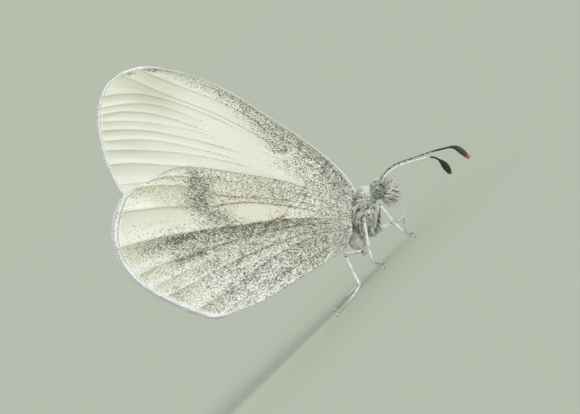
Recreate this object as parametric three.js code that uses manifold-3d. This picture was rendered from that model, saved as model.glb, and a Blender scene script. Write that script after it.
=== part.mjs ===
// A wood white butterfly at rest with its wings closed over its back, at life size.
//
// Millimetres. +X runs forward to the head, +Y to the butterfly's left, +Z up.
// The six feet stand on the floor, z = 0. Everything is laid out around the
// thorax in body coordinates, and the last lines move the whole butterfly so
// that its box is centred over the origin.

import * as THREE from 'three';
import { mergeVertices } from 'three/addons/utils/BufferGeometryUtils.js';
import Module from 'manifold-3d';

const wasm = await Module();
wasm.setup();

// ---------------------------------------------------------------- dimensions

const GAP = 0.03; // clear space kept between neighbouring pieces
const RIGHT = -1; // side signs: the right wings and legs lie at -Y
const LEFT = 1;

// Body: ellipsoids out to the tips of their hair, each with its centre, half length, half
// width and half height, and its pitch, nose up, in degrees.
const THORAX = { x: 4.35, z: 4.5, half: [1.72, 1.15, 1.32], pitch: 14 };
const COLLAR = { x: 5.83, z: 5.0, half: [0.62, 0.86, 0.92], pitch: 20 };
const HEAD = { x: 6.78, z: 4.68, half: [0.66, 0.62, 0.88], pitch: -8 };
const EYE = { x: 6.56, z: 4.62, y: 0.52, half: [0.56, 0.42, 0.62], pitch: 8 };
const PALP = { x: 7.34, z: 3.88, y: 0.48, half: [0.98, 0.22, 0.68], pitch: -16 };
const PROBOSCIS = { x: 7.18, z: 3.84, radius: 0.36, thickness: 0.42 };

// Abdomen: slender, rising backward between the hindwings. Its thickness is a share of the
// half sizes: frontShare at the thorax, all of it where it swells, less endLoss at the end.
const ABDOMEN = {
  spine: [[2.95, 4.05], [0.2, 4.2], [-3.4, 4.9], [-6.9, 5.95]],
  halfWidth: 0.58,
  halfHeight: 0.74,
  frontShare: 0.86,
  endLoss: 0.34,
  swellPace: 1.6, // the swelling is over at 1 / swellPace of the length
};

// Antennae: the spine of each in x, z, its sideways reach and the share that is club.
const ANTENNA = {
  rootY: 0.3,
  shaftRadius: 0.25,
  clubRadius: 0.28,
  clubShare: 0.23,
  right: {
    spine: [[7.15, 5.1], [8.73, 5.26], [10.71, 4.43], [12.53, 3.52], [13.39, 2.86], [13.59, 1.48]],
    reach: 2.6,
  },
  left: {
    spine: [[7.16, 5.07], [8.93, 4.91], [10.57, 4.1], [11.72, 3.32], [12.04, 2.46], [11.93, 1.15]],
    reach: 4.0,
  },
};

// Wings: each outline is given in the wing's own frame, u from the hinge towards
// the margin and v from the leading edge to the trailing edge.
const WING = {
  thickness: 0.5,
  hinge: [4.2, 4.8], // where the wing layers part most, in x, z
  midline: 0.3, // centre plane of a forewing far from the body, off the plane of symmetry
  hingeSpread: 0.75, // how much further out it is at the hinge
  closing: 6, // distance from the hinge at which the pair has closed
  layer: 0.58, // from a forewing's centre plane out to the hindwing's
};

const FOREWING = {
  root: [4.57, 4.9],
  bearing: 114.5,
  leading: [
    [0.5, -1.1], [2.1, -2.2], [5.1, -3.35], [9.0, -4.3],
    [13.3, -5.15], [17.0, -5.2], [20.0, -4.5], [21.3, -3.6],
  ],
  margin: [[21.3, -3.6], [22.1, -2.3], [22.25, -0.9], [21.9, 0.7], [20.6, 3.0], [18.85, 4.95], [16.9, 6.3]],
  trailing: [[-0.1, 0.7], [3.0, 1.8], [8.0, 3.7], [12.5, 5.2], [16.9, 6.3]],
  along: 10,
  across: 16,
};

const HINDWING = {
  root: [3.49, 4.4],
  bearing: 142,
  leading: [
    [0.05, -0.75], [0.7, -1.8], [4.5, -3.7], [8.0, -4.85],
    [11.8, -5.85], [13.3, -5.95], [15.8, -5.2], [18.1, -4.1],
  ],
  margin: [
    [18.1, -4.1], [18.9, -2.35], [19.15, -0.7], [18.7, 1.25],
    [17.4, 3.1], [15.1, 4.8], [13.3, 5.85], [11.8, 6.5],
  ],
  trailing: [[0.1, 0.9], [0.9, 2.15], [2.8, 3.2], [6.3, 4.8], [9.7, 6.0], [11.8, 6.5]],
  along: 10,
  across: 16,
};

// Legs. The hip is [x, y off the midline, z]. Each segment is [length, pitch, splay]:
// pitch turns from forward to up, splay turns outward. The foot is the place on the
// floor, [x, y], where the toe rests, and the knuckle is where the tarsus bends on its way.
const LEG = {
  coxaRadius: 0.31,
  femurRadius: 0.27,
  tibiaRadius: 0.25,
  tarsusRadius: 0.25,
  coxaTaper: 0.1, // share of the radius lost along the segment
  femurTaper: 0.07,
};

const LEGS = [
  { pair: 'fore', side: RIGHT, hip: [5.47, 0.42, 4.11],
    coxa: [2.08, -132.8, 5.5], femur: [2.39, 33.9, 17.8], tibia: [1.86, -95.4, 12.4],
    knuckle: [5.79, 1.95, 0.95], foot: [6.06, 2.12] },
  { pair: 'fore', side: LEFT, hip: [5.47, 0.42, 4.11],
    coxa: [2.16, -129.1, 5.3], femur: [2.78, -18.8, 13.1], tibia: [1.54, -124.1, 35.8],
    knuckle: [6.02, 2.65, 0.32], foot: [6.22, 3.1] },
  { pair: 'mid', side: RIGHT, hip: [4.11, 0.45, 3.66],
    coxa: [1.13, -126.9, 8.7], femur: [1.62, 53.7, 33.0], tibia: [2.23, -125.9, 10.3],
    knuckle: [2.38, 2.15, 0.98], foot: [2.6, 2.35] },
  { pair: 'mid', side: LEFT, hip: [4.11, 0.45, 3.66],
    coxa: [1.15, -124.6, 8.5], femur: [1.4, 49.8, 33.8], tibia: [2.18, -124.7, 11.9],
    knuckle: [2.4, 2.15, 0.8], foot: [2.75, 2.4] },
  { pair: 'hind', side: RIGHT, hip: [2.92, 0.4, 3.72],
    coxa: [1.73, -105.8, 6.7], femur: [1.95, 142.8, 36.1], tibia: [2.79, -109.1, 11.4],
    knuckle: [-0.9, 2.5, 0.22], foot: [-2.65, 2.75] },
  { pair: 'hind', side: LEFT, hip: [2.92, 0.4, 3.72],
    coxa: [1.77, -105.2, 6.5], femur: [1.87, 149.6, 38.0], tibia: [2.71, -109.7, 11.7],
    knuckle: [-0.9, 2.5, 0.22], foot: [-2.55, 2.75] },
];

// Facets: around and along the round pieces.
const TRUNK_FACETS = [16, 12];
const FACE_FACETS = [12, 8];
const ABDOMEN_FACETS = [12, 10];
const LIMB_FACETS = [8, 4];
const SHAFT_FACETS = [8, 9];
const COIL_SIDES = 20;
const ANTENNA_POINTS = 9; // points that redraw the spine of each part of an antenna
const LIMB_BLUNTNESS = 0.25; // how far along its rounding a limb's end face stands
const WELD = 1e-5; // vertices closer than this are one

// ----------------------------------------------------------------- materials

const finish = (color, roughness) => new THREE.MeshStandardMaterial({ color, roughness, metalness: 0 });

const FINISH = {
  wing: finish('#dcdfcb', 0.9),
  hair: finish('#b9bab0', 0.95),
  abdomen: finish('#c9cbc0', 0.9),
  eye: finish('#7b877c', 0.25),
  shaft: finish('#8d8b80', 0.6),
  club: finish('#29251f', 0.55),
  horn: finish('#7a5136', 0.5),
  leg: finish('#d3d6d0', 0.75),
  tarsus: finish('#b7a596', 0.65),
};

// ------------------------------------------------------------ solid building

const radians = THREE.MathUtils.degToRad;

/** Six times the volume that a closed triangle mesh encloses, negative if it is inside out. */
function signedVolume(geometry) {
  const place = geometry.attributes.position;
  const [a, b, c] = [new THREE.Vector3(), new THREE.Vector3(), new THREE.Vector3()];
  let total = 0;
  for (let i = 0; i < geometry.index.count; i += 3) {
    a.fromBufferAttribute(place, geometry.index.getX(i));
    b.fromBufferAttribute(place, geometry.index.getX(i + 1));
    c.fromBufferAttribute(place, geometry.index.getX(i + 2));
    total += a.dot(b.cross(c));
  }
  return total;
}

/** Move every vertex of a closed three.js shape through a function and return it as a solid. */
function warp(shape, move) {
  shape.deleteAttribute('normal');
  shape.deleteAttribute('uv');
  const geometry = mergeVertices(shape, WELD);
  const place = geometry.attributes.position;
  const point = new THREE.Vector3();
  for (let i = 0; i < place.count; i++) {
    move(point.fromBufferAttribute(place, i));
    place.setXYZ(i, point.x, point.y, point.z);
  }
  const corners = geometry.index.array.slice();
  if (signedVolume(geometry) < 0) {
    for (let i = 0; i < corners.length; i += 3) [corners[i], corners[i + 1]] = [corners[i + 1], corners[i]];
  }
  return new wasm.Manifold(new wasm.Mesh({
    numProp: 3,
    vertProperties: Float32Array.from(place.array),
    triVerts: Uint32Array.from(corners),
  }));
}

/** Turn a solid back into three.js geometry with flat facets. */
function geometryOf(solid) {
  const { vertProperties, triVerts } = solid.getMesh();
  const geometry = new THREE.BufferGeometry();
  geometry.setAttribute('position', new THREE.BufferAttribute(vertProperties, 3));
  geometry.setIndex(new THREE.BufferAttribute(triVerts, 1));
  geometry.computeVertexNormals();
  return geometry;
}

/** Keep the part of a solid on the far side of a plane through a point, clear of it by half the gap. */
function trim(solid, point, normal, clearance = GAP / 2) {
  return solid.trimByPlane(normal.toArray(), normal.dot(point) + clearance);
}

/** An ellipsoid of the body, larger by grow all round. */
function ball({ x, z, half, pitch }, { y = 0, grow = 0, facets = TRUNK_FACETS } = {}) {
  const turn = radians(pitch);
  return warp(new THREE.SphereGeometry(1, ...facets), (point) => {
    point.set(point.x * (half[0] + grow), point.z * (half[1] + grow), point.y * (half[2] + grow));
    point.applyAxisAngle(new THREE.Vector3(0, -1, 0), turn);
    point.add(new THREE.Vector3(x, y, z));
  });
}

/** A rounded limb along a curve. radiusAt gives [sideways, upright] radii at 0 to 1 of its length. */
function limb(curve, radiusAt, facets = LIMB_FACETS) {
  const length = curve.getLength();
  return warp(new THREE.CylinderGeometry(1, 1, 1, ...facets), (point) => {
    // Rings stand closer together towards both ends, where the limb rounds off.
    const t = 0.5 - 0.5 * Math.cos(Math.PI * (point.y + 0.5));
    const forward = curve.getTangentAt(t);
    const sideways = new THREE.Vector3(0, 1, 0).addScaledVector(forward, -forward.y).normalize();
    const upright = new THREE.Vector3().crossVectors(forward, sideways);
    const [across, high] = radiusAt(t);
    const fromEnd = Math.min(t, 1 - t) * length;
    const rounding = Math.min(1, fromEnd / high + LIMB_BLUNTNESS);
    const round = Math.sqrt(1 - (1 - rounding) ** 2);
    const place = curve.getPointAt(t);
    place.addScaledVector(sideways, point.x * across * round);
    place.addScaledVector(upright, point.z * high * round);
    point.copy(place);
  });
}

/** A flat outline point of a wing frame, [u, v], as body x and z. */
function fromWingFrame(wing, [u, v]) {
  const turn = radians(wing.bearing);
  const x = wing.root[0] + u * Math.cos(turn) - v * Math.sin(turn);
  const z = wing.root[1] + u * Math.sin(turn) + v * Math.cos(turn);
  return new THREE.Vector2(x, z);
}

/** How far a forewing's centre plane stands off the plane of symmetry at a place. */
function forewingOffset(place) {
  const reach = place.distanceTo(new THREE.Vector2(...WING.hinge)) / WING.closing;
  return WING.midline + WING.hingeSpread * (1 - THREE.MathUtils.smoothstep(reach, 0, 1));
}

/** A wing as one slab: a patch blended between its four edges and given its thickness. */
function wingSlab(wing, side, offsetAt) {
  const edge = (points) => new THREE.SplineCurve(points.map((point) => fromWingFrame(wing, point)));
  const leading = edge(wing.leading);
  const trailing = edge(wing.trailing);
  const margin = edge(wing.margin);
  const [rootFront, rootBack] = [leading.getPoint(0), trailing.getPoint(0)];
  const [tipFront, tipBack] = [leading.getPoint(1), trailing.getPoint(1)];
  return warp(new THREE.BoxGeometry(1, 1, 1, wing.across, wing.along, 1), (point) => {
    const t = point.x + 0.5;
    const s = point.y + 0.5;
    const place = leading.getPointAt(s).multiplyScalar(1 - t)
      .addScaledVector(trailing.getPointAt(s), t)
      .addScaledVector(rootFront.clone().lerp(rootBack, t), 1 - s)
      .addScaledVector(margin.getPointAt(t), s)
      .addScaledVector(rootFront, -(1 - s) * (1 - t))
      .addScaledVector(rootBack, -(1 - s) * t)
      .addScaledVector(tipFront, -s * (1 - t))
      .addScaledVector(tipBack, -s * t);
    const offset = offsetAt(place) + point.z * WING.thickness;
    point.set(place.x, side * offset, place.y);
  });
}

// ---------------------------------------------------------------- the pieces

const butterfly = new THREE.Group();

function add(name, solid, material) {
  const mesh = new THREE.Mesh(geometryOf(solid), material);
  mesh.name = name;
  butterfly.add(mesh);
}

const nameOf = (side) => (side === RIGHT ? 'right' : 'left');
const spineCurve = (points, yAt) => new THREE.CatmullRomCurve3(
  points.map(([x, z], i) => new THREE.Vector3(x, yAt(i / (points.length - 1)), z)),
  false, 'centripetal',
);

// Larger copies that cut the clear space into whatever meets the trunk.
const grownThorax = ball(THORAX, { grow: GAP });
const grownHead = ball(HEAD, { grow: GAP });
const grownCollar = ball(COLLAR, { grow: GAP });
const grownAbdomen = abdomen(GAP);

function addTrunk() {
  add('thorax', ball(THORAX), FINISH.hair);
  add('collar', ball(COLLAR).subtract(grownThorax).subtract(grownHead), FINISH.hair);
  add('head', ball(HEAD), FINISH.hair);
  add('abdomen', abdomen(0).subtract(grownThorax), FINISH.abdomen);
}

/** The abdomen: widest in its first third and drawn in towards a blunt end. */
function abdomen(grow) {
  const { spine, halfWidth, halfHeight, frontShare, endLoss, swellPace } = ABDOMEN;
  const swell = (t) => frontShare - endLoss * t * t
    + (1 - frontShare) * Math.sin(Math.PI * Math.min(1, t * swellPace));
  return limb(
    spineCurve(spine, () => 0),
    (t) => [halfWidth * swell(t) + grow, halfHeight * swell(t) + grow],
    ABDOMEN_FACETS,
  );
}

function addFace(side) {
  const name = nameOf(side);
  const beside = ({ y }) => ({ y: side * y, facets: FACE_FACETS });
  add(`eye_${name}`, ball(EYE, beside(EYE)).subtract(grownHead).subtract(grownCollar), FINISH.eye);
  const grownEye = ball(EYE, { ...beside(EYE), grow: GAP });
  const palp = ball(PALP, beside(PALP)).subtract(grownHead).subtract(grownEye);
  add(`palp_${name}`, palp, FINISH.hair);
  const { spine, reach } = ANTENNA[name];
  const { rootY, shaftRadius, clubRadius, clubShare } = ANTENNA;
  const whole = spineCurve(spine, (t) => side * (rootY + reach * t));
  const part = (from, to) => new THREE.CatmullRomCurve3(Array.from(
    { length: ANTENNA_POINTS },
    (_, i) => whole.getPointAt(from + (to - from) * (i / (ANTENNA_POINTS - 1))),
  ));
  const split = 1 - clubShare;
  const joint = whole.getPointAt(split);
  const along = whole.getTangentAt(split);
  const shaft = limb(part(0, split), () => [shaftRadius, shaftRadius], SHAFT_FACETS)
    .subtract(grownHead).subtract(grownEye);
  add(`antenna_shaft_${name}`, trim(shaft, joint, along.clone().negate()), FINISH.shaft);
  const club = limb(part(split, 1), () => [clubRadius, clubRadius]);
  add(`antenna_club_${name}`, trim(club, joint, along), FINISH.club);
}

function addProboscis() {
  const { x, z, radius, thickness } = PROBOSCIS;
  const centre = new THREE.Vector3(x, 0, z);
  const disc = new THREE.CylinderGeometry(radius, radius, thickness, COIL_SIDES);
  const coil = warp(disc, (point) => point.add(centre));
  add('proboscis', coil.subtract(grownHead), FINISH.horn);
}

function addWings(side) {
  const name = nameOf(side);
  const hindwingOffset = (place) => forewingOffset(place) + WING.layer;
  const forewing = wingSlab(FOREWING, side, forewingOffset);
  const hindwing = wingSlab(HINDWING, side, hindwingOffset);
  add(`forewing_${name}`, forewing.subtract(grownThorax).subtract(grownCollar), FINISH.wing);
  add(`hindwing_${name}`, hindwing.subtract(grownThorax), FINISH.wing);
}

/** The end of a leg segment that starts at a point. */
function reachFrom(start, side, [length, pitch, splay]) {
  const flat = length * Math.cos(radians(splay));
  return start.clone().add(new THREE.Vector3(
    flat * Math.cos(radians(pitch)),
    side * length * Math.sin(radians(splay)),
    flat * Math.sin(radians(pitch)),
  ));
}

function addLeg(leg) {
  const { side } = leg;
  const mirrored = ([x, y, z]) => new THREE.Vector3(x, side * y, z);
  const hip = mirrored(leg.hip);
  const trochanter = reachFrom(hip, side, leg.coxa);
  const knee = reachFrom(trochanter, side, leg.femur);
  const ankle = reachFrom(knee, side, leg.tibia);
  const toe = mirrored([...leg.foot, 0]);
  const paths = {
    coxa: new THREE.LineCurve3(hip, trochanter),
    femur: new THREE.LineCurve3(trochanter, knee),
    tibia: new THREE.LineCurve3(knee, ankle),
    tarsus: new THREE.CatmullRomCurve3([ankle, mirrored(leg.knuckle), toe], false, 'centripetal'),
  };
  const tapered = (radius, taper = 0) => (t) => Array(2).fill(radius * (1 - taper * t));
  const solids = {
    coxa: limb(paths.coxa, tapered(LEG.coxaRadius, LEG.coxaTaper)).subtract(grownThorax)
      .subtract(grownAbdomen),
    femur: limb(paths.femur, tapered(LEG.femurRadius, LEG.femurTaper)),
    tibia: limb(paths.tibia, tapered(LEG.tibiaRadius)),
    tarsus: limb(paths.tarsus, tapered(LEG.tarsusRadius)),
  };
  // The toe's middle line ends on the floor, and the floor cuts its sole flat.
  solids.tarsus = trim(solids.tarsus, new THREE.Vector3(), new THREE.Vector3(0, 0, 1), 0);
  // Neighbouring segments part at the plane that halves the angle between them.
  const order = Object.keys(paths);
  for (let i = 1; i < order.length; i++) {
    const [before, after] = [order[i - 1], order[i]];
    const joint = paths[after].getPoint(0);
    const along = paths[before].getTangentAt(1).add(paths[after].getTangentAt(0)).normalize();
    solids[before] = trim(solids[before], joint, along.clone().negate());
    solids[after] = trim(solids[after], joint, along);
  }
  for (const segment of order) {
    const material = segment === 'tarsus' ? FINISH.tarsus : FINISH.leg;
    add(`${leg.pair}leg_${segment}_${nameOf(side)}`, solids[segment], material);
  }
}

addTrunk();
addProboscis();
for (const side of [RIGHT, LEFT]) {
  addFace(side);
  addWings(side);
}
LEGS.forEach(addLeg);

// Centre the box over the origin, with the soles on the floor.
const box = new THREE.Box3().setFromObject(butterfly);
const centre = box.getCenter(new THREE.Vector3());
butterfly.position.set(-centre.x, -centre.y, 0);

export default butterfly;
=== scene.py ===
"""Looks of a resting wood white butterfly with its wings closed over its back.

Every shape is laid out in body coordinates: millimetres, +X forward to the head, +Y to the
butterfly's left, +Z up, the floor at z = 0. BODY_TO_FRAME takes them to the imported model's frame.
A wing has its own frame as well: u runs from the hinge to the margin, v from the leading edge to
the trailing edge.
"""

import logging
import math
from dataclasses import dataclass, field, fields
from enum import Enum
from typing import Callable, Sequence

import bmesh
import bpy
import numpy as np
from mathutils import Matrix, Vector


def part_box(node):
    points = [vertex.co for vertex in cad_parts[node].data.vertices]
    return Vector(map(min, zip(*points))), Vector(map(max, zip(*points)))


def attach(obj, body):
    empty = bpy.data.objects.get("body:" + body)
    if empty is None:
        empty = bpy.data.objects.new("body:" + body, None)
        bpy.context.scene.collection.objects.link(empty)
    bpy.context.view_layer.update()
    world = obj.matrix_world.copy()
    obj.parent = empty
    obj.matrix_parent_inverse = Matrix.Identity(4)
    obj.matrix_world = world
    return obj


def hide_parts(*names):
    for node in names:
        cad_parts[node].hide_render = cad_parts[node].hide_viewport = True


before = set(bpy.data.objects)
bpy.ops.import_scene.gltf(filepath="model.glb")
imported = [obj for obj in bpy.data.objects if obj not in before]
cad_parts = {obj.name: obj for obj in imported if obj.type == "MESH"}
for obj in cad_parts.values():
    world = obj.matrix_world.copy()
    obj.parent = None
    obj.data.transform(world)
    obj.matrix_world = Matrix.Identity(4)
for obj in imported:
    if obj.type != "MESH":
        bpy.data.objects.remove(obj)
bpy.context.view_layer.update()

log = logging.getLogger("butterfly")

MM = 0.001
BODY = "root"
THORAX_CENTRE = Vector((4.35, 0.0, 4.5))
BAKE_MAP = "OFBake"
INSET, SPREAD = 0.02, 0.96  # the margin that unwraps leave on it, and the room within
LIE_MAP = "Lie"
TUFT_PATCH = 0.003  # how wide a tuft's patch is on the bake map
WELD = 1e-4  # millimetres
DENSE = 25  # points of a curve from one given point to the next
ORDER, INNER = "order", "inner"  # vertex numbers that a wing's two faces share
UP = np.array([0.0, 0.0, 1.0])
SIDEWAYS = np.array([0.0, 1.0, 0.0])

Colour = tuple[float, float, float, float]
Pair = tuple[float, float]
Triple = tuple[float, float, float]
Array = np.ndarray
BMesh = bmesh.types.BMesh
Material = bpy.types.Material
Mesh = bpy.types.Mesh
Socket = bpy.types.NodeSocket
Look = tuple[Socket | None, ...]


def body_to_frame() -> Matrix:
    """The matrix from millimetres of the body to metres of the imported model's frame."""
    low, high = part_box("thorax")
    return Matrix.Translation((low + high) / 2 - THORAX_CENTRE * MM) @ Matrix.Scale(MM, 4)


BODY_TO_FRAME = body_to_frame()


class Side(Enum):
    """The two sides of the body, by the sign of y."""

    RIGHT = -1
    LEFT = 1

    @property
    def word(self) -> str:
        """The side's word in the names of pieces."""
        return self.name.lower()


# ------------------------------------------------------------------ numbers and curves


def srgb(*levels: int) -> Colour:
    """A display colour's red, green and blue, from 0 to 255, as the linear one of shaders."""
    shares = (level / 255 for level in levels)
    return (*(s / 12.92 if s <= 0.04045 else ((s + 0.055) / 1.055) ** 2.4 for s in shares), 1.0)


def ease(low: float, high: float, value: Array) -> Array:
    """A smooth step from 0 at low to 1 at high, for each value."""
    share = np.clip((np.asarray(value, float) - low) / (high - low), 0, 1)
    return share * share * (3 - 2 * share)


def bell(off: Array, reach: float | Array) -> Array:
    """One where off is zero, falling away over the reach."""
    return np.exp(-(off / reach) ** 2)


def unit(vectors: Array) -> Array:
    """The same vectors at length one."""
    return vectors / np.maximum(np.linalg.norm(vectors, axis=-1, keepdims=True), 1e-12)


def smooth_path(points: Sequence[Sequence[float]], samples: int) -> Array:
    """A centripetal Catmull-Rom curve through points, sampled at even steps of its length.

    Args:
        points: The points that the curve passes through, in two or three dimensions.
        samples: How many points to return.

    Returns:
        An array of samples points.
    """
    given = np.asarray(points, float)
    ends = np.vstack([2 * given[0] - given[1], given, 2 * given[-1] - given[-2]])
    dense = []
    for i in range(len(given) - 1):
        a, b, c, d = ends[i:i + 4]
        gaps = [max(np.linalg.norm(q - p), 1e-9) ** 0.5 for p, q in ((a, b), (b, c), (c, d))]
        k0, k1, k2, k3 = np.cumsum([0.0] + gaps)
        t = np.linspace(k1, k2, DENSE)[:, None]

        def between(low: Array, high: Array, start: float, end: float) -> Array:
            return (end - t) / (end - start) * low + (t - start) / (end - start) * high

        ab, bc, cd = between(a, b, k0, k1), between(b, c, k1, k2), between(c, d, k2, k3)
        piece = between(between(ab, bc, k0, k2), between(bc, cd, k1, k3), k1, k2)
        dense.append(piece if i == len(given) - 2 else piece[:-1])
    return even_steps(np.vstack(dense), np.linspace(0, 1, samples))


def even_steps(line: Array, shares: Array) -> Array:
    """Points of a fine polyline at shares of its length.

    Args:
        line: The polyline's points.
        shares: Numbers from 0 at its start to 1 at its end.

    Returns:
        One point for each share.
    """
    steps = np.linalg.norm(np.diff(line, axis=0), axis=1)
    reach = np.concatenate([[0], np.cumsum(steps)])
    wanted = np.asarray(shares) * reach[-1]
    return np.stack([np.interp(wanted, reach, line[:, k]) for k in range(line.shape[1])], axis=1)


def distance_to_line(points: Array, line: Array) -> Array:
    """How far each point lies from a polyline.

    Args:
        points: An array of points.
        line: The polyline's points.

    Returns:
        One distance for each point.
    """
    best = np.full(len(points), np.inf)
    for a, b in zip(line[:-1], line[1:]):
        along = b - a
        share = np.clip((points - a) @ along / max(along @ along, 1e-12), 0, 1)
        best = np.minimum(best, np.linalg.norm(points - a - share[:, None] * along, axis=1))
    return best


# ------------------------------------------------------------------ meshes


def lay_grid(bm: BMesh, places: Array, lie: Array,
             numbered: bool = False) -> list[bmesh.types.BMVert]:
    """Lay a grid of quads over rows of places, with its Lie map.

    Args:
        bm: The mesh that takes the grid.
        places: Rows by columns by three coordinates.
        lie: Rows by columns by two coordinates of the Lie map.
        numbered: Whether each vertex keeps its number in the rows.

    Returns:
        The grid's vertices.
    """
    rows, columns = places.shape[:2]
    layer = bm.loops.layers.uv.get(LIE_MAP) or bm.loops.layers.uv.new(LIE_MAP)
    order = bm.verts.layers.int.new(ORDER) if numbered else None
    made = bmesh.ops.create_grid(bm, x_segments=columns - 1, y_segments=rows - 1, size=1.0)["verts"]
    flat = np.array([vert.co[:2] for vert in made])
    share = (flat - flat.min(axis=0)) / (flat.max(axis=0) - flat.min(axis=0))
    column = np.rint(share[:, 0] * (columns - 1)).astype(int)
    row = np.rint(share[:, 1] * (rows - 1)).astype(int)
    for vert, c, r in zip(made, column, row):
        vert.co = places[r, c]
        if numbered:
            vert[order] = r * columns + c
        for loop in vert.link_loops:
            loop[layer].uv = lie[r, c]
    return made


def turned_frames(path: Array) -> tuple[Array, Array, Array]:
    """The directions along a path, sideways from it and upright to both.

    Args:
        path: The path's points.

    Returns:
        Three arrays of unit vectors: along, sideways and upright.
    """
    along = unit(np.gradient(path, axis=0))
    sideways = unit(SIDEWAYS - along * along[:, 1:2])
    return along, sideways, np.cross(along, sideways)


def sweep(
    bm: BMesh,
    path: Array,
    radius: Callable[[Array], Array],
    sides: int = 14,
    steps: int = 24,
    flatness: float = 1.0,
    blunt: float = 1.0,
) -> None:
    """Sweep a closed, round-ended tube along a path.

    Args:
        bm: The mesh that takes the tube.
        path: The path's points.
        radius: The upright radius at shares from 0 to 1 of the length.
        sides: Facets around.
        steps: Facets along.
        flatness: The sideways radius as a share of the upright one.
        blunt: How many radii long each rounded end is.
    """
    share = 0.5 - 0.5 * np.cos(np.linspace(0, np.pi, steps + 1))
    line = even_steps(path, share)
    length = np.linalg.norm(np.diff(path, axis=0), axis=1).sum()
    reach = radius(share)
    from_end = np.minimum(share, 1 - share) * length
    rounding = np.clip(from_end / np.maximum(blunt * reach, 1e-6), 0, 1)
    reach = reach * np.sqrt(1 - (1 - rounding) ** 2)
    _, sideways, upright = turned_frames(line)
    turn = np.linspace(0, 2 * np.pi, sides + 1)
    places = (
        line[:, None]
        + sideways[:, None] * (np.cos(turn)[None, :, None] * reach[:, None, None] * flatness)
        + upright[:, None] * (np.sin(turn)[None, :, None] * reach[:, None, None])
    )
    lie = np.stack(np.broadcast_arrays(turn[None] / (2 * np.pi), (share * length)[:, None]), axis=2)
    # Its seam and its two poles are doubled until here.
    bmesh.ops.remove_doubles(bm, verts=lay_grid(bm, places, lie), dist=WELD)


def lump(bm: BMesh, centre: Triple, half: Triple, pitch: float = 0.0, fine: int = 4) -> None:
    """Add an ellipsoid of half a length, width and height, its front turned up by degrees."""
    shape = Matrix.Rotation(-math.radians(pitch), 4, "Y") @ Matrix.Diagonal((*half, 1.0))
    bmesh.ops.create_icosphere(
        bm, subdivisions=fine, radius=1.0, matrix=Matrix.Translation(centre) @ shape)


def coordinates(mesh: Mesh) -> Array:
    """A mesh's vertices as an array.

    Args:
        mesh: The mesh.

    Returns:
        Their coordinates.
    """
    flat = np.empty(len(mesh.vertices) * 3, np.float32)
    mesh.vertices.foreach_get("co", flat)
    return flat.reshape(-1, 3).astype(float)


def whole_numbers(mesh: Mesh, name: str) -> Array:
    """Take the whole number of each vertex off a mesh.

    Args:
        mesh: The mesh that carries the numbers.
        name: The attribute's name.

    Returns:
        One number for each vertex.
    """
    values = np.empty(len(mesh.vertices), np.int32)
    mesh.attributes[name].data.foreach_get("value", values)
    mesh.attributes.remove(mesh.attributes[name])
    return values


def paint(mesh: Mesh, name: str, values: Array) -> None:
    """Store one number for each vertex under a name that materials read."""
    layer = mesh.attributes.new(name, "FLOAT", "POINT")
    layer.data.foreach_set("value", np.asarray(values, np.float32))


def mesh_of(bm: BMesh, name: str) -> Mesh:
    """Turn a closed bmesh into a mesh with outward faces, still in body coordinates.

    Args:
        bm: The bmesh, which is freed.
        name: The mesh's name.

    Returns:
        The mesh.
    """
    bmesh.ops.recalc_face_normals(bm, faces=bm.faces[:])
    mesh = bpy.data.meshes.new(name)
    bm.to_mesh(mesh)
    bm.free()
    return mesh


def put(name: str, data: bpy.types.ID) -> bpy.types.Object:
    """Put data in the scene as an object.

    Args:
        name: The object's name.
        data: Its mesh, light or camera.

    Returns:
        The object.
    """
    made = bpy.data.objects.new(name, data)
    bpy.context.scene.collection.objects.link(made)
    return made


def add_piece(
    mesh: Mesh,
    material: Material,
    slot: str,
    replaced: Sequence[str] = (),
    smooth: bool = True,
) -> bpy.types.Object:
    """Move a mesh from body coordinates to the frame and make it a piece of the butterfly.

    Args:
        mesh: The mesh in body coordinates, whose name the piece takes.
        material: Its finish.
        slot: The name of a material slot, which is only logged.
        replaced: The CAD nodes that it stands for.
        smooth: Whether light runs smoothly over its facets.

    Returns:
        The piece.
    """
    mesh.transform(BODY_TO_FRAME)
    mesh.materials.clear()
    mesh.materials.append(material)
    if smooth:
        mesh.shade_smooth()
    piece = put(mesh.name, mesh)
    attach(piece, BODY)
    if replaced:
        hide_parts(*replaced)
    log.info("%s: %d faces, %s", piece.name, len(mesh.polygons), slot)
    return piece


# ------------------------------------------------------------------ coats


HAIR_BENDS = (0.3, 0.66)  # where along a hair its rings of vertices are


class Tuft(Enum):
    """The shapes that a coat repeats."""

    HAIR = "hair"
    BLADE = "blade"
    SCALE = "scale"


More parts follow.
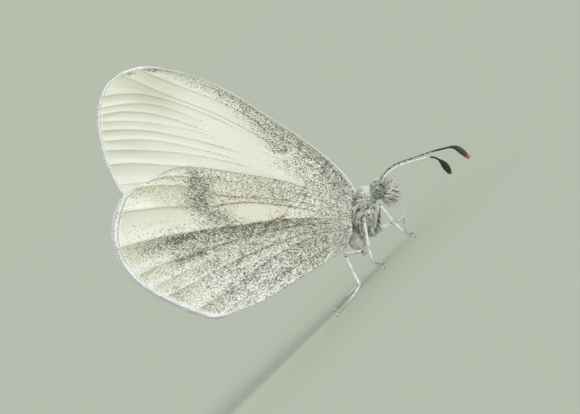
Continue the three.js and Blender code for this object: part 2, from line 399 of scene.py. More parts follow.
@dataclass
class TuftShape:
    """A small closed shape that runs from x = 0 to 1, one wide and one thick either way."""

    kind: Tuft
    points: Array = field(init=False)
    corners: Array = field(init=False)

    def __post_init__(self) -> None:
        """Model the shape once."""
        bm = bmesh.new()
        if self.kind is Tuft.HAIR:
            self._model_hair(bm)
        elif self.kind is Tuft.BLADE:
            self._model_lens(bm, sides=6, widest=0.55, tip=0.0)
        else:
            self._model_lens(bm, sides=5, widest=0.58, tip=0.55)
        bmesh.ops.triangulate(bm, faces=bm.faces[:])
        bmesh.ops.recalc_face_normals(bm, faces=bm.faces[:])
        bm.verts.index_update()
        self.points = np.array([vert.co for vert in bm.verts])
        self.corners = np.array([[vert.index for vert in face.verts] for face in bm.faces])
        bm.free()

    def _model_hair(self, bm: BMesh) -> None:
        """A three-sided hair that tapers to its tip, with two rings where it bends.

        Args:
            bm: The mesh that takes it.
        """
        stand = Matrix.Rotation(math.pi / 2, 4, "Y") @ Matrix.Translation((0, 0, 0.5))
        bmesh.ops.create_cone(
            bm, cap_ends=True, segments=3, radius1=1.0, radius2=0.0, depth=1.0, matrix=stand,
        )
        bmesh.ops.remove_doubles(bm, verts=bm.verts[:], dist=1e-5)
        for level in HAIR_BENDS:
            whole = bm.verts[:] + bm.edges[:] + bm.faces[:]
            bmesh.ops.bisect_plane(bm, geom=whole, plane_co=(level, 0, 0), plane_no=(1, 0, 0))
        for vert in bm.verts:
            along = min(max(vert.co.x, 0.0), 0.99)
            swell = (1 - along ** 2.2) / (1 - along)
            vert.co.y *= swell
            vert.co.z *= swell

    def _model_lens(self, bm: BMesh, sides: int, widest: float, tip: float) -> None:
        """A thin lens with a pointed root: a scale, or a blade where it is drawn out.

        Args:
            bm: The mesh that takes it.
            sides: Corners around its outline.
            widest: Where along its length it is widest.
            tip: How wide its end stays, as a share.
        """
        bmesh.ops.create_uvsphere(bm, u_segments=sides, v_segments=2, radius=1.0)
        bmesh.ops.rotate(bm, verts=bm.verts[:], cent=(0, 0, 0),
                         matrix=Matrix.Rotation(math.pi, 3, "Z"))
        for vert in bm.verts:
            rim = abs(vert.co.z) < 0.5
            along = 0.5 + 0.5 * vert.co.x
            vert.co.x = along ** (math.log(widest) / math.log(0.5)) if rim else widest
            if rim and 0.6 < along < 0.99:
                vert.co.y = math.copysign(max(abs(vert.co.y), tip), vert.co.y or 1.0)


SHAPES = {kind: TuftShape(kind) for kind in Tuft}
THIN = 0.006  # half the thickness of a scale, in mm


@dataclass
class Coat:
    """Many tufts joined in one mesh, each with its patch of the bake map and its tone."""

    name: str
    kind: Tuft
    roots: Array
    lie: Array  # which way they point
    normals: Array  # which way their flat side faces
    length: Array
    width: Array | float  # half across, as thickness is half through
    thickness: Array | float
    bend: Array  # how far their ends turn aside, as a share of their length
    unwrap: Array
    tone: Array

    def __post_init__(self) -> None:
        """Spread what is given once over all tufts."""
        count = len(self.roots)
        for part in ("length", "width", "thickness", "tone"):
            setattr(self, part, np.broadcast_to(getattr(self, part), count))
        for part in ("normals", "bend"):
            setattr(self, part, np.broadcast_to(getattr(self, part), (count, 3)))

    @classmethod
    def joined(cls, name: str, coats: "Sequence[Coat]") -> "Coat":
        """One coat of the tufts of several.

        Args:
            name: The joined coat's name.
            coats: The coats, which all repeat the same shape.

        Returns:
            The joined coat.
        """
        parts = [each.name for each in fields(cls)[2:]]
        arrays = {part: np.concatenate([getattr(coat, part) for coat in coats]) for part in parts}
        return cls(name, coats[0].kind, **arrays)

    def add(self, finish: Material, slot: str) -> None:
        """Add the coat as a piece, with flat facets where its tufts are thin lenses."""
        add_piece(self.mesh(), finish, slot, smooth=self.kind is Tuft.HAIR)

    def mesh(self) -> Mesh:
        """Join the tufts.

        Returns:
            The coat's mesh in body coordinates.
        """
        shape = SHAPES[self.kind]
        x, y, z = shape.points.T
        along = unit(self.lie)
        across = unit(np.cross(self.normals, along))
        upward = np.cross(along, across)
        size = self.length[:, None, None]
        places = (
            self.roots[:, None]
            + along[:, None] * x[None, :, None] * size
            + self.bend[:, None] * (x ** 2)[None, :, None] * size
            + across[:, None] * y[None, :, None] * self.width[:, None, None]
            + upward[:, None] * z[None, :, None] * self.thickness[:, None, None]
        )
        count, points = places.shape[:2]
        corners = (shape.corners[None] + points * np.arange(count)[:, None, None]).reshape(-1, 3)
        mesh = bpy.data.meshes.new(self.name)
        mesh.vertices.add(count * points)
        mesh.vertices.foreach_set("co", places.astype(np.float32).ravel())
        mesh.loops.add(corners.size)
        mesh.loops.foreach_set("vertex_index", corners.astype(np.int32).ravel())
        mesh.polygons.add(len(corners))
        mesh.polygons.foreach_set("loop_start", np.arange(0, corners.size, 3, dtype=np.int32))
        mesh.update(calc_edges=True)
        patch = np.stack([x, 0.5 + 0.5 * np.sign(y) * (np.abs(y) > 0.2)], axis=1) - 0.5
        spots = (self.unwrap[:, None] + patch[None] * TUFT_PATCH).reshape(-1, 2)
        bake = mesh.uv_layers.new(name=BAKE_MAP)
        bake.data.foreach_set("uv", spots[corners.ravel()].astype(np.float32).ravel())
        paint(mesh, "tone", np.repeat(self.tone, points))
        paint(mesh, "tip", np.tile(x, count))
        return mesh


# ------------------------------------------------------------------ nodes


class Bench:
    """Sets out the nodes of one tree."""

    def __init__(self, tree: bpy.types.NodeTree) -> None:
        """Start on an emptied tree."""
        self.tree = tree
        tree.nodes.clear()

    def node(self, kind: str, options: dict | None = None, **feeds: object) -> bpy.types.Node:
        """Add a node, set its options and feed its sockets.

        Args:
            kind: The node's type, without the ShaderNode that it starts with.
            options: Its settings by name.
            **feeds: Values or sockets by socket name, with _ for a space, or i2 for the third.

        Returns:
            The node.
        """
        made = self.tree.nodes.new("ShaderNode" + kind)
        for key, value in (options or {}).items():
            setattr(made, key, value)
        for key, value in feeds.items():
            numbered = key[0] == "i" and key[1:].isdigit()
            socket = made.inputs[int(key[1:])] if numbered else made.inputs[key.replace("_", " ")]
            if isinstance(value, Socket):
                self.tree.links.new(value, socket)
            else:
                socket.default_value = value
        return made

    def math(self, operation: str, a: object, b: object = 0.0,
             clamp: bool = False) -> Socket:
        """A Math node's result for values or sockets, kept from 0 to 1 by clamp."""
        options = {"operation": operation, "use_clamp": clamp}
        return self.node("Math", options, i0=a, i1=b).outputs[0]

    def blend(self, share: object, a: object, b: object, mode: str = "MIX") -> Socket:
        """Two colours or their sockets, mixed with a share of the second."""
        options = {"data_type": "RGBA", "blend_type": mode}
        return self.node("Mix", options, i0=share, i6=a, i7=b).outputs[2]

    def span(self, value: object, low: float, high: float, to_low: float = 0.0,
             to_high: float = 1.0) -> Socket:
        """A smooth step from to_low at low to to_high at high.

        Args:
            value: The value or socket.
            low: Where the step starts.
            high: Where it ends.
            to_low: The result at low.
            to_high: The result at high.

        Returns:
            The result's socket.
        """
        options = {"interpolation_type": "SMOOTHSTEP"}
        made = self.node("MapRange", options, i0=value, i1=low, i2=high, i3=to_low, i4=to_high)
        return made.outputs[0]

    def feed(self, target: bpy.types.Node, **sockets: Socket) -> None:
        """Link sockets to a node's inputs of those names."""
        for name, socket in sockets.items():
            self.tree.links.new(socket, target.inputs[name])

    def number(self, name: str) -> Socket:
        """The mesh's own number of that name at each point."""
        return self.node("Attribute", {"attribute_name": name}).outputs["Fac"]

    def lie(self) -> Socket:
        """The piece's Lie map."""
        return self.node("UVMap", {"uv_map": LIE_MAP}).outputs[0]

    def place(self) -> Socket:
        """Object coordinates."""
        return self.node("TexCoord").outputs["Object"]

    def noise(self, vector: object, size: float, detail: float = 2.0) -> Socket:
        """Noise from about 0 to 1, with size lumps to a unit and detail finer layers."""
        return self.node("TexNoise", None, Vector=vector, Scale=size, Detail=detail).outputs[0]

    def split(self, colour: Socket) -> list[Socket]:
        """The three numbers of a colour."""
        return list(self.node("SeparateColor", None, i0=colour).outputs)[:3]


def new_group(name: str, inputs: dict[str, tuple[str, ...]],
              outputs: dict[str, tuple[str, ...]]) -> tuple:
    """An empty node group with named sockets.

    Args:
        name: The group's name.
        inputs: The inputs' names by their type.
        outputs: The outputs' names by their type.

    Returns:
        The group, its bench, the sockets of its input node and its output node.
    """
    group = bpy.data.node_groups.new(name, "ShaderNodeTree")
    for way, kinds in (("INPUT", inputs), ("OUTPUT", outputs)):
        for kind, labels in kinds.items():
            for label in labels:
                group.interface.new_socket(label, in_out=way, socket_type="NodeSocket" + kind)
    bench = Bench(group)
    given = group.nodes.new("NodeGroupInput").outputs
    return group, bench, given, group.nodes.new("NodeGroupOutput")


def scale_cover() -> bpy.types.NodeTree:
    """The cover of overlapping scales, some of them dark, that wings, body and legs share.

    Returns:
        The group: Color, Height and Rough from the lie of the scales and their marks.
    """
    group, bench, given, target = new_group(
        "scale cover",
        {"Vector": ("Lie",),
         "Float": ("Scale length", "Scale width", "Dust", "Tint", "Vein", "Shade"),
         "Color": ("Pale", "Warm", "Dark", "Vein colour")},
        {"Color": ("Color",), "Float": ("Height", "Rough")},
    )
    axes = bench.node("SeparateXYZ", None, i0=given["Lie"]).outputs
    wander = bench.noise(given["Lie"], 5.0, 1.0)
    row = bench.math("DIVIDE", axes[0], given["Scale length"])
    across = bench.math("DIVIDE", axes[1], given["Scale width"])
    row = bench.math("ADD", row, bench.math("MULTIPLY", wander, 0.8))
    layout = bench.node("CombineXYZ", None, i0=row, i1=across, i2=axes[2]).outputs[0]
    cells = bench.node("TexVoronoi", {"feature": "F1", "voronoi_dimensions": "3D"},
                       Vector=layout, Scale=1.0, Randomness=0.85)
    chance, tone, warmth = bench.split(cells.outputs["Color"])
    # Dust gathers in clouds, so that its edges break up.
    cloud = bench.noise(given["Lie"], 1.6, 3.0)
    dust = bench.math("MULTIPLY", given["Dust"], bench.span(cloud, 0.25, 0.75, 0.6, 1.4))
    dark = bench.math("LESS_THAN", chance, dust)
    pale = bench.blend(given["Tint"], given["Pale"], given["Warm"])
    pale = bench.blend(bench.math("MULTIPLY", warmth, 0.1), pale, (0.5, 0.5, 0.44, 1))
    sparse = bench.span(given["Dust"], 0.0, 0.35, 0.45, 0.0)
    paler = bench.math("ADD", bench.math("MULTIPLY", tone, 0.5), sparse)
    speck = bench.blend(paler, given["Dark"], srgb(158, 152, 134))
    colour = bench.blend(dark, pale, speck)
    colour = bench.blend(bench.math("MULTIPLY", given["Vein"], 0.7, clamp=True), colour,
                         given["Vein colour"])
    # Shade lays a smooth grey over the scales: grey marks of the wing, and painted shade of its pleats.
    colour = bench.blend(bench.math("MULTIPLY", given["Shade"], 0.5, clamp=True), colour,
                         srgb(128, 130, 118))
    # Each scale is a low dome, some higher than others.
    dome = bench.span(cells.outputs["Distance"], 0.0, 0.75, 1.0, 0.0)
    bench.feed(target, Color=colour, Rough=bench.span(warmth, 0.0, 1.0, 0.62, 0.82),
               Height=bench.math("ADD", dome, bench.math("MULTIPLY", tone, 0.5)))
    return group


def tuft_tone() -> bpy.types.NodeTree:
    """The colour of hairs and lifted scales by each tuft's own tone, shared by all coats.

    Returns:
        The group: Color from the tone, the place along the tuft and two colours.
    """
    group, bench, given, target = new_group(
        "tuft tone",
        {"Float": ("Tone", "Tip", "Dark share", "Root shade"), "Color": ("Pale", "Middle", "Dark")},
        {"Color": ("Color",)},
    )
    light = bench.span(given["Tone"], 0.35, 0.9)
    pale = bench.blend(light, given["Middle"], given["Pale"])
    # Each tuft is darkened towards its root: painted shade where the tufts cover one another.
    shade = bench.math("MULTIPLY", bench.span(given["Tip"], 0.0, 0.8, 1.0, 0.0), given["Root shade"])
    pale = bench.blend(shade, pale, given["Middle"], "MULTIPLY")
    dark = bench.math("LESS_THAN", given["Tone"], given["Dark share"])
    bench.feed(target, Color=bench.blend(dark, pale, given["Dark"]))
    return group


# ------------------------------------------------------------------ finishes


@dataclass(frozen=True)
class Finish:
    """A material: what it sets uniformly on its shader, and the look that a subclass draws."""

    name: str
    sheen: float = 0.0
    roughness: float = 0.7
    coat: float = 0.0
    specular: float = 0.5
    relief: float = 0.004  # the height of one in its bump, in mm

    def draw(self, bench: Bench, groups: "Groups") -> Look:
        """Set out its look: sockets for colour, roughness and height, or None for a uniform one."""
        raise NotImplementedError

    def material(self, groups: "Groups") -> Material:
        """Build the material around its look.

        Args:
            groups: The shared node groups.

        Returns:
            The material.
        """
        material = bpy.data.materials.new(self.name)
        material.use_nodes = True
        bench = Bench(material.node_tree)
        shader = bench.node("BsdfPrincipled", None, Roughness=self.roughness,
                            Sheen_Weight=self.sheen, Coat_Weight=self.coat)
        shader.inputs["Specular IOR Level"].default_value = self.specular
        bench.node("OutputMaterial", None, Surface=shader.outputs[0])
        colour, rough, height = self.draw(bench, groups)
        bench.tree.links.new(colour, shader.inputs["Base Color"])
        if rough:
            bench.tree.links.new(rough, shader.inputs["Roughness"])
        if height:
            bump = bench.node("Bump", None, Strength=1.0, Distance=self.relief * MM, Height=height)
            bench.tree.links.new(bump.outputs[0], shader.inputs["Normal"])
        return material


@dataclass(frozen=True)
class WingFinish(Finish):
    """Wing membrane under its scales."""

    pale: Colour = srgb(253, 253, 252)
    warm: Colour = srgb(222, 221, 201)
    dark: Colour = srgb(74, 72, 62)
    vein: Colour = srgb(120, 108, 82)
    scale_length: float = 0.07
    scale_width: float = 0.05

    def draw(self, bench: Bench, groups: "Groups") -> Look:
        """Scales that follow the wing's own marks.

        Args:
            bench: The material's bench.
            groups: The shared node groups.

        Returns:
            Sockets for colour, roughness and height.
        """
        marks = {mark.capitalize(): bench.number(mark) for mark in ("dust", "tint", "vein", "shade")}
        cover = bench.node(
            "Group", {"node_tree": groups.scales}, Lie=bench.lie(), Scale_length=self.scale_length,
            Scale_width=self.scale_width, Pale=self.pale, Warm=self.warm, Dark=self.dark,
            Vein_colour=self.vein, **marks,
        ).outputs
        return cover["Color"], cover["Rough"], cover["Height"]


@dataclass(frozen=True)
class CoatFinish(Finish):
    """Hairs and lifted scales, told apart by their tone."""

    pale: Colour = srgb(226, 228, 216)
    middle: Colour = srgb(172, 174, 162)
    dark: Colour = srgb(56, 54, 46)
    dark_share: float = 0.2
    # how much painted shade darkens each tuft towards its root
    root_shade: float = 0.35

    def draw(self, bench: Bench, groups: "Groups") -> Look:
        """Each tuft's own tone, with a fine grain in its roughness.

        Args:
            bench: The material's bench.
            groups: The shared node groups.

        Returns:
            Sockets for colour, roughness and height.
        """
        cover = bench.node(
            "Group", {"node_tree": groups.tufts}, Tone=bench.number("tone"), Tip=bench.number("tip"),
            Dark_share=self.dark_share, Pale=self.pale, Middle=self.middle, Dark=self.dark,
            Root_shade=self.root_shade,
        )
        grain = bench.noise(bench.place(), 26 / MM, 1.0)
        rough = bench.span(grain, 0.3, 0.7, self.roughness - 0.12, self.roughness + 0.1)
        return cover.outputs["Color"], rough, None


@dataclass(frozen=True)
class SkinFinish(Finish):
    """Body and leg skin under flat scales, darker where the mesh says so."""

    relief: float = 0.008
    pale: Colour = srgb(206, 208, 198)
    dark: Colour = srgb(58, 56, 48)
    under: Colour = srgb(90, 86, 76)
    scale_length: float = 0.12
    scale_width: float = 0.07

    def draw(self, bench: Bench, groups: "Groups") -> Look:
        """Scales over the body's own coordinates, and bare skin between them.

        Args:
            bench: The material's bench.
            groups: The shared node groups.

        Returns:
            Sockets for colour, roughness and height.
        """
        millimetres = bench.node("VectorMath", {"operation": "SCALE"}, Vector=bench.place(),
                                 Scale=1 / MM).outputs[0]
        cover = bench.node(
            "Group", {"node_tree": groups.scales}, Lie=millimetres, Dust=bench.number("dust"),
            Scale_length=self.scale_length, Scale_width=self.scale_width, Vein=bench.number("bare"),
            Pale=self.pale, Warm=self.pale, Dark=self.dark, Vein_colour=self.under,
            Tint=0.0, Shade=0.0,
        ).outputs
        return cover["Color"], cover["Rough"], cover["Height"]


@dataclass(frozen=True)
class EyeFinish(Finish):
    """A compound eye: fine facets, a grey-green ground and the dark spots of its depth."""

    relief: float = 0.003
    ground: Colour = srgb(124, 135, 123)
    light: Colour = srgb(160, 172, 158)
    spot: Colour = srgb(20, 22, 18)
    facet: float = 0.035

    def draw(self, bench: Bench, groups: "Groups") -> Look:
        """Facets as low domes over a mottled ground, and the spots on it.

        Args:
            bench: The material's bench.
            groups: The shared node groups.

        Returns:
            Sockets for colour, roughness and height.
        """
        facets = bench.node("TexVoronoi", {"feature": "F1"}, Vector=bench.place(),
                            Scale=1 / (self.facet * MM), Randomness=0.25).outputs["Distance"]
        mottle = bench.noise(bench.place(), 4 / MM, 3.0)
        ground = bench.blend(bench.span(mottle, 0.35, 0.7), self.ground, self.light)
        ground = bench.blend(bench.span(facets, 0.2, 0.6, 0.0, 0.16), ground, self.spot)
        colour = bench.blend(bench.number("spot"), ground, self.spot)
        return colour, bench.span(mottle, 0.3, 0.7, 0.24, 0.4), bench.span(facets, 0.0, 0.7, 1.0, 0.0)


@dataclass(frozen=True)
class BandedFinish(Finish):
    """An antenna: dark segments with pale rings, and a tip of another colour."""

    relief: float = 0.008
    dark: Colour = srgb(40, 37, 30)
    pale: Colour = srgb(238, 238, 230)
    tip: Colour = srgb(168, 84, 24)

    def draw(self, bench: Bench, groups: "Groups") -> Look:
        """Ragged pale rings, fine grey scales and the tip.

        Args:
            bench: The material's bench.
            groups: The shared node groups.

        Returns:
            Sockets for colour, roughness and height.
        """
        ragged = bench.noise(bench.place(), 14 / MM, 2.0)
        pale = bench.math("ADD", bench.number("pale"), bench.math("MULTIPLY", ragged, 0.7))
        colour = bench.blend(bench.span(pale, 0.78, 0.92), self.dark, self.pale)
        fine = bench.noise(bench.place(), 40 / MM, 1.0)
        colour = bench.blend(bench.span(fine, 0.45, 0.75, 0.0, 0.35), colour, srgb(96, 92, 82))
        colour = bench.blend(bench.number("tip"), colour, self.tip)
        return colour, bench.span(fine, 0.3, 0.7, 0.4, 0.62), fine


@dataclass(frozen=True)
class HornFinish(Finish):
    """Bare horn: claws, spurs and the coiled tongue."""

    relief: float = 0.01
    light: Colour = srgb(128, 92, 66)
    deep: Colour = srgb(58, 38, 30)

    def draw(self, bench: Bench, groups: "Groups") -> Look:
        """Brown horn with a soft grain.

        Args:
            bench: The material's bench.
            groups: The shared node groups.

        Returns:
            Sockets for colour, roughness and height.
        """
        grain = bench.noise(bench.place(), 9 / MM, 3.0)
        colour = bench.blend(bench.span(grain, 0.35, 0.65), self.deep, self.light)
        return colour, bench.span(grain, 0.3, 0.7, 0.34, 0.55), grain


@dataclass(frozen=True)
class FloorFinish(Finish):
    """A plain matt studio floor."""

    specular: float = 0.0
    colour: Colour = srgb(177, 184, 169)
    paler: Colour = srgb(178, 185, 170)

    def draw(self, bench: Bench, groups: "Groups") -> Look:
        """Two close greens, softly mottled."""
        return bench.blend(bench.noise(bench.place(), 60.0), self.colour, self.paler), None, None


class Groups:
    """The shared node groups, built once."""

    def __init__(self) -> None:
        """Build them."""
        self.scales = scale_cover()
        self.tufts = tuft_tone()


# ------------------------------------------------------------------ wings


@dataclass(frozen=True)
class Vein:
    """A vein from the hinge to the margin, in the wing's frame."""

    points: tuple[Pair, ...]
    ridge: float = 0.02  # how far it stands out, in mm
    shows: float = 0.4  # how brown it is
    start: float = 0.0  # where it starts to show, in mm from the hinge


@dataclass(frozen=True)
class Patch:
    """A soft oval of more or less of something."""

    u: float
    v: float
    along: float
    across: float
    strength: float
    turn: float = 0.0

    def over(self, places: Array) -> Array:
        """Its strength at each place of the wing's frame.

        Args:
            places: The places.

        Returns:
            One number for each.
        """
        turn = math.radians(self.turn)
        du, dv = places[:, 0] - self.u, places[:, 1] - self.v
        along = (du * math.cos(turn) + dv * math.sin(turn)) / self.along
        across = (-du * math.sin(turn) + dv * math.cos(turn)) / self.across
        return self.strength * np.exp(-(along ** 2) - across ** 2)


def stretch(start: float, end: float, fade: float, u: Array) -> Array:
    """One between start and end, fading in and out at both, for distances from the hinge."""
    return ease(start, start + fade, u) * (1 - ease(end - fade, end, u))


@dataclass(frozen=True)
class Cell:
    """More or less of something in the cells between two veins."""

    first: float  # by the veins' numbers
    last: float
    start: float  # in mm from the hinge
    end: float
    strength: float
    soft: float = 0.12
    fade: float = 1.0

    def over(self, vein: Array, u: Array) -> Array:
        """Its strength at vein numbers and distances from the hinge.

        Args:
            vein: The vein numbers.
            u: The distances in mm.

        Returns:
            One number for each.
        """
        across = ease(self.first - self.soft, self.first + self.soft, vein)
        across = across * (1 - ease(self.last - self.soft, self.last + self.soft, vein))
        return self.strength * across * stretch(self.start, self.end, self.fade, u)


@dataclass(frozen=True)
class Band:
    """Something that gathers against the trailing side of a vein, or the leading side."""

    vein: float
    reach: float  # in veins; negative to the leading side
    start: float
    end: float
    strength: float
    fade: float = 1.5

    def over(self, vein: Array, u: Array) -> Array:
        """Its strength at vein numbers and distances from the hinge.

        Args:
            vein: The vein numbers.
            u: The distances in mm.

        Returns:
            One number for each.
        """
        off = (vein - self.vein) / self.reach
        across = np.exp(-np.maximum(off, 0) ** 2) * ease(-0.02, 0.03, off)
        return self.strength * across * stretch(self.start, self.end, self.fade, u)


@dataclass(frozen=True)
class WingPlan:
    """What a pair of wings shares: outline, veins, pleats and markings."""

    kind: str
    root: Pair
    bearing: float
    leading: tuple[Pair, ...]
    margin: tuple[Pair, ...]
    trailing: tuple[Pair, ...]
    veins: tuple[Vein, ...]
    pleats: tuple[float, ...]  # rise between neighbouring veins, in mm
    dust: tuple[Patch, ...]
    tint: tuple[Patch, ...]
    shade: tuple[Patch, ...]
    cells: tuple[Cell, ...]
    wedge: float  # painted shade of the pleats: how strongly each cell darkens below its leading vein near the margin
    layer: float  # centre plane off the midline, far from the hinge
    fringe: float
    root_dust: float
    root_reach: Pair
    tip: float  # the reach of the wing's tip, in mm
    rim_width: float  # how wide the bare leading edge is
    rail: float  # how dark the line beside it is
    bands: tuple[Band, ...] = ()
    least_dust: float = 0.0
    tint_base: float = 0.62
    costal_dust: float = 0.0  # along the leading edge
    fringe_from: tuple[int, int] = (2, 3)  # the veins between whose ends it grows to its length
    folds: tuple[tuple[Pair, Pair, float], ...] = ()
    lights: tuple[tuple[Pair, ...], ...] = ()  # bare raised lines
    root_hair: float = 1.6  # how far out hair grows on it, in mm

    def outline(self) -> Array:
        """The outline from the hinge round the margin and back, as a fine polyline.

        Returns:
            Points in the wing's frame.
        """
        parts = [smooth_path(self.leading, 160), smooth_path(self.margin, 200),
                 smooth_path(self.trailing, 160)[::-1]]
        whole = even_steps(np.vstack([parts[0], parts[1][1:], parts[2][1:]]), np.linspace(0, 1, 700))
        for _ in range(30):  # rounds the corners between the three curves
            whole[1:-1] = (whole[:-2] + 2 * whole[1:-1] + whole[2:]) / 4
        return whole


HEM = 0.5  # how much of the fringe's length the membrane reaches into
HINGE = (4.2, 4.8)  # where the wings spread from, in x and z
HINGE_SPREAD = 0.58  # how much further off the midline they are there, in mm
CLOSING = 6.0  # how far out they have closed on each other, in mm
MIDDLE_VEIN = 4  # of the hindwing, along which it folds
FOLD_HEIGHT = 0.16
VEIN_REACH, BROWN_REACH = 0.07, 0.05  # how wide veins stand out, and how wide they are brown
UNDER_LIE = 40.0  # how far off the inner face's scales are laid out, in mm
DUST_PITCH = 0.082  # the size of squares with one lifted scale at most, in mm
DUST_TRIES = 90000
SPARSE = 0.22  # dust below which single scales are paler
# How wide and how strong the dust along the leading edge is, by the way from the hinge in mm.
COSTAL_WIDTH = ((0, 4, 8, 10, 13, 17, 20), (1.7, 1.7, 2.2, 1.8, 1.15, 0.8, 0.4))
COSTAL_STRENGTH = ((0, 7, 9, 13, 17, 20), (0.56, 0.68, 0.66, 0.6, 0.24, 0.06))
MOST_DUST = 0.85
# Rows of the fringe: lift off the wing, how far back they are rooted as a share of the fringe,
# spacing, how long they are as a share of it and how wide.
FRINGE_ROWS = (
    (0.016, 0.7, 0.03, (0.72, 1.15), 0.034),
    (-0.02, 0.1, 0.045, (0.95, 1.5), 0.026),
    (-0.066, 0.7, 0.03, (0.72, 1.15), 0.034),
)

FOREWING = WingPlan(
    kind="forewing",
    root=(4.57, 4.9),
    bearing=114.5,
    leading=((0.5, -1.1), (2.1, -2.2), (5.1, -3.35), (9.0, -4.3), (13.3, -5.15), (17.0, -5.2),
             (20.0, -4.5), (21.3, -3.6)),
    margin=((21.3, -3.6), (22.1, -2.3), (22.25, -0.9), (21.9, 0.7), (20.6, 3.0), (18.85, 4.95),
            (16.9, 6.3)),
    trailing=((-0.1, 0.7), (3.0, 1.8), (8.0, 3.7), (12.5, 5.2), (16.9, 6.3)),
    veins=(
        Vein(((0.46, -1.11), (2.1, -2.22), (5.14, -3.35), (9.0, -4.28), (13.3, -5.14),
              (17.05, -5.15), (18.66, -4.88)), 0.05, 0.0),
        Vein(((0.45, -0.85), (3.0, -2.29), (7.04, -3.52), (11.72, -4.59), (16.12, -4.95),
              (19.41, -4.61)), 0.035, 0.5),
        Vein(((0.46, -0.51), (3.5, -2.02), (7.77, -3.16), (12.78, -4.02), (17.06, -4.04),
              (19.47, -4.08), (20.42, -4.11)), 0.03, 0.4),
        Vein(((0.45, -0.26), (3.76, -1.58), (7.43, -2.26), (12.82, -2.98), (17.46, -3.04),
              (20.5, -3.18), (21.44, -3.17)), 0.025, 0.35),
        Vein(((0.46, -0.08), (3.83, -1.3), (7.11, -1.87), (12.71, -2.68), (17.75, -2.67),
              (20.1, -2.12), (22.0, -1.13)), 0.02, 0.42, 12.0),
        Vein(((0.41, 0.07), (3.74, -1.08), (6.75, -1.58), (12.03, -1.99), (17.52, -2.07),
              (19.84, -1.41), (22.0, -0.22)), 0.014, 0.3, 14.5),
        Vein(((0.42, 0.16), (3.66, -0.85), (6.66, -1.35), (11.83, -1.47), (17.33, -1.33),
              (19.98, -0.66), (21.78, 0.37)), 0.018, 0.4, 14.0),
        Vein(((0.43, 0.25), (3.57, -0.63), (6.58, -1.13), (9.61, -1.25), (13.71, -1.24),
              (17.01, -0.7), (19.35, -0.11), (21.57, 0.81)), 0.012, 0.2, 13.0),
        Vein(((0.39, 0.36), (3.46, -0.33), (6.44, -0.75), (10.29, -0.77), (13.62, -0.54),
              (17.57, 0.08), (19.86, 0.81), (21.24, 1.45)), 0.018, 0.36, 11.0),
        Vein(((0.36, 0.43), (3.35, -0.03), (6.3, -0.38), (9.26, -0.3), (14.86, 0.26),
              (17.71, 0.86), (20.81, 2.15)), 0.018, 0.3, 11.0),
        Vein(((0.32, 0.55), (3.24, 0.27), (6.21, -0.15), (9.14, 0.0), (12.24, 0.39),
              (15.03, 0.95), (17.79, 1.77), (20.28, 2.67)), 0.016, 0.28, 9.0),
        Vein(((0.29, 0.62), (3.1, 0.65), (6.34, 0.66), (10.5, 0.94), (15.9, 2.27),
              (18.2, 2.96), (19.55, 3.59)), 0.02, 0.36, 5.0),
        Vein(((0.18, 0.67), (2.93, 1.1), (6.03, 1.49), (10.03, 2.21), (14.75, 3.29),
              (18.33, 4.8)), 0.02, 0.28, 5.0),
        Vein(((0.07, 0.75), (2.7, 1.69), (7.06, 3.28), (11.63, 4.78), (14.7, 5.71),
              (16.76, 6.14)), 0.02, 0.0),
    ),
    pleats=(0.0, -0.02, -0.015, -0.02, -0.03, -0.015, -0.03, -0.012, -0.045, -0.02, -0.05, -0.045,
            -0.02),
    dust=(
        Patch(7.7, -2.2, 0.8, 0.5, 0.3), Patch(19.4, -4.4, 0.6, 0.14, 0.6, 12),
        Patch(18.6, -4.62, 0.4, 0.1, 0.3, 8), Patch(20.75, -3.62, 0.34, 0.12, 0.9, 30),
        Patch(3.8, -0.9, 2.4, 0.9, 0.18), Patch(6.0, -1.3, 1.2, 0.4, 0.16),
    ),
    tint=(Patch(18.8, -3.0, 2.4, 1.4, 0.5), Patch(8.5, -3.2, 3.5, 0.9, 0.3),
          Patch(15.8, 5.2, 2.0, 0.9, -0.5, 12)),
    shade=(Patch(18.3, -2.2, 1.7, 0.9, 0.34), Patch(17.0, -0.6, 2.0, 0.5, 0.08),
           Patch(18.6, -4.0, 1.2, 0.25, 0.25, 10), Patch(15.5, -4.6, 3.0, 0.35, 0.08),
           # Painted shade of the pleats near the trailing margin.
           Patch(17.8, 1.5, 2.4, 0.9, 0.16, 12)),
    cells=(Cell(9.0, 13.0, 4.0, 9.0, -0.2, 0.4, 2.0),),
    wedge=0.17,
    layer=0.36,
    fringe_from=(3, 6),
    lights=(((8.6, -1.62), (8.0, -1.5), (7.1, -1.56), (6.6, -1.9), (6.3, -2.3)),),
    fringe=0.24,
    root_dust=0.3,
    root_reach=(0.5, 7.5),
    tip=21.5,
    rim_width=0.13,
    rail=0.75,
    costal_dust=0.6,
)

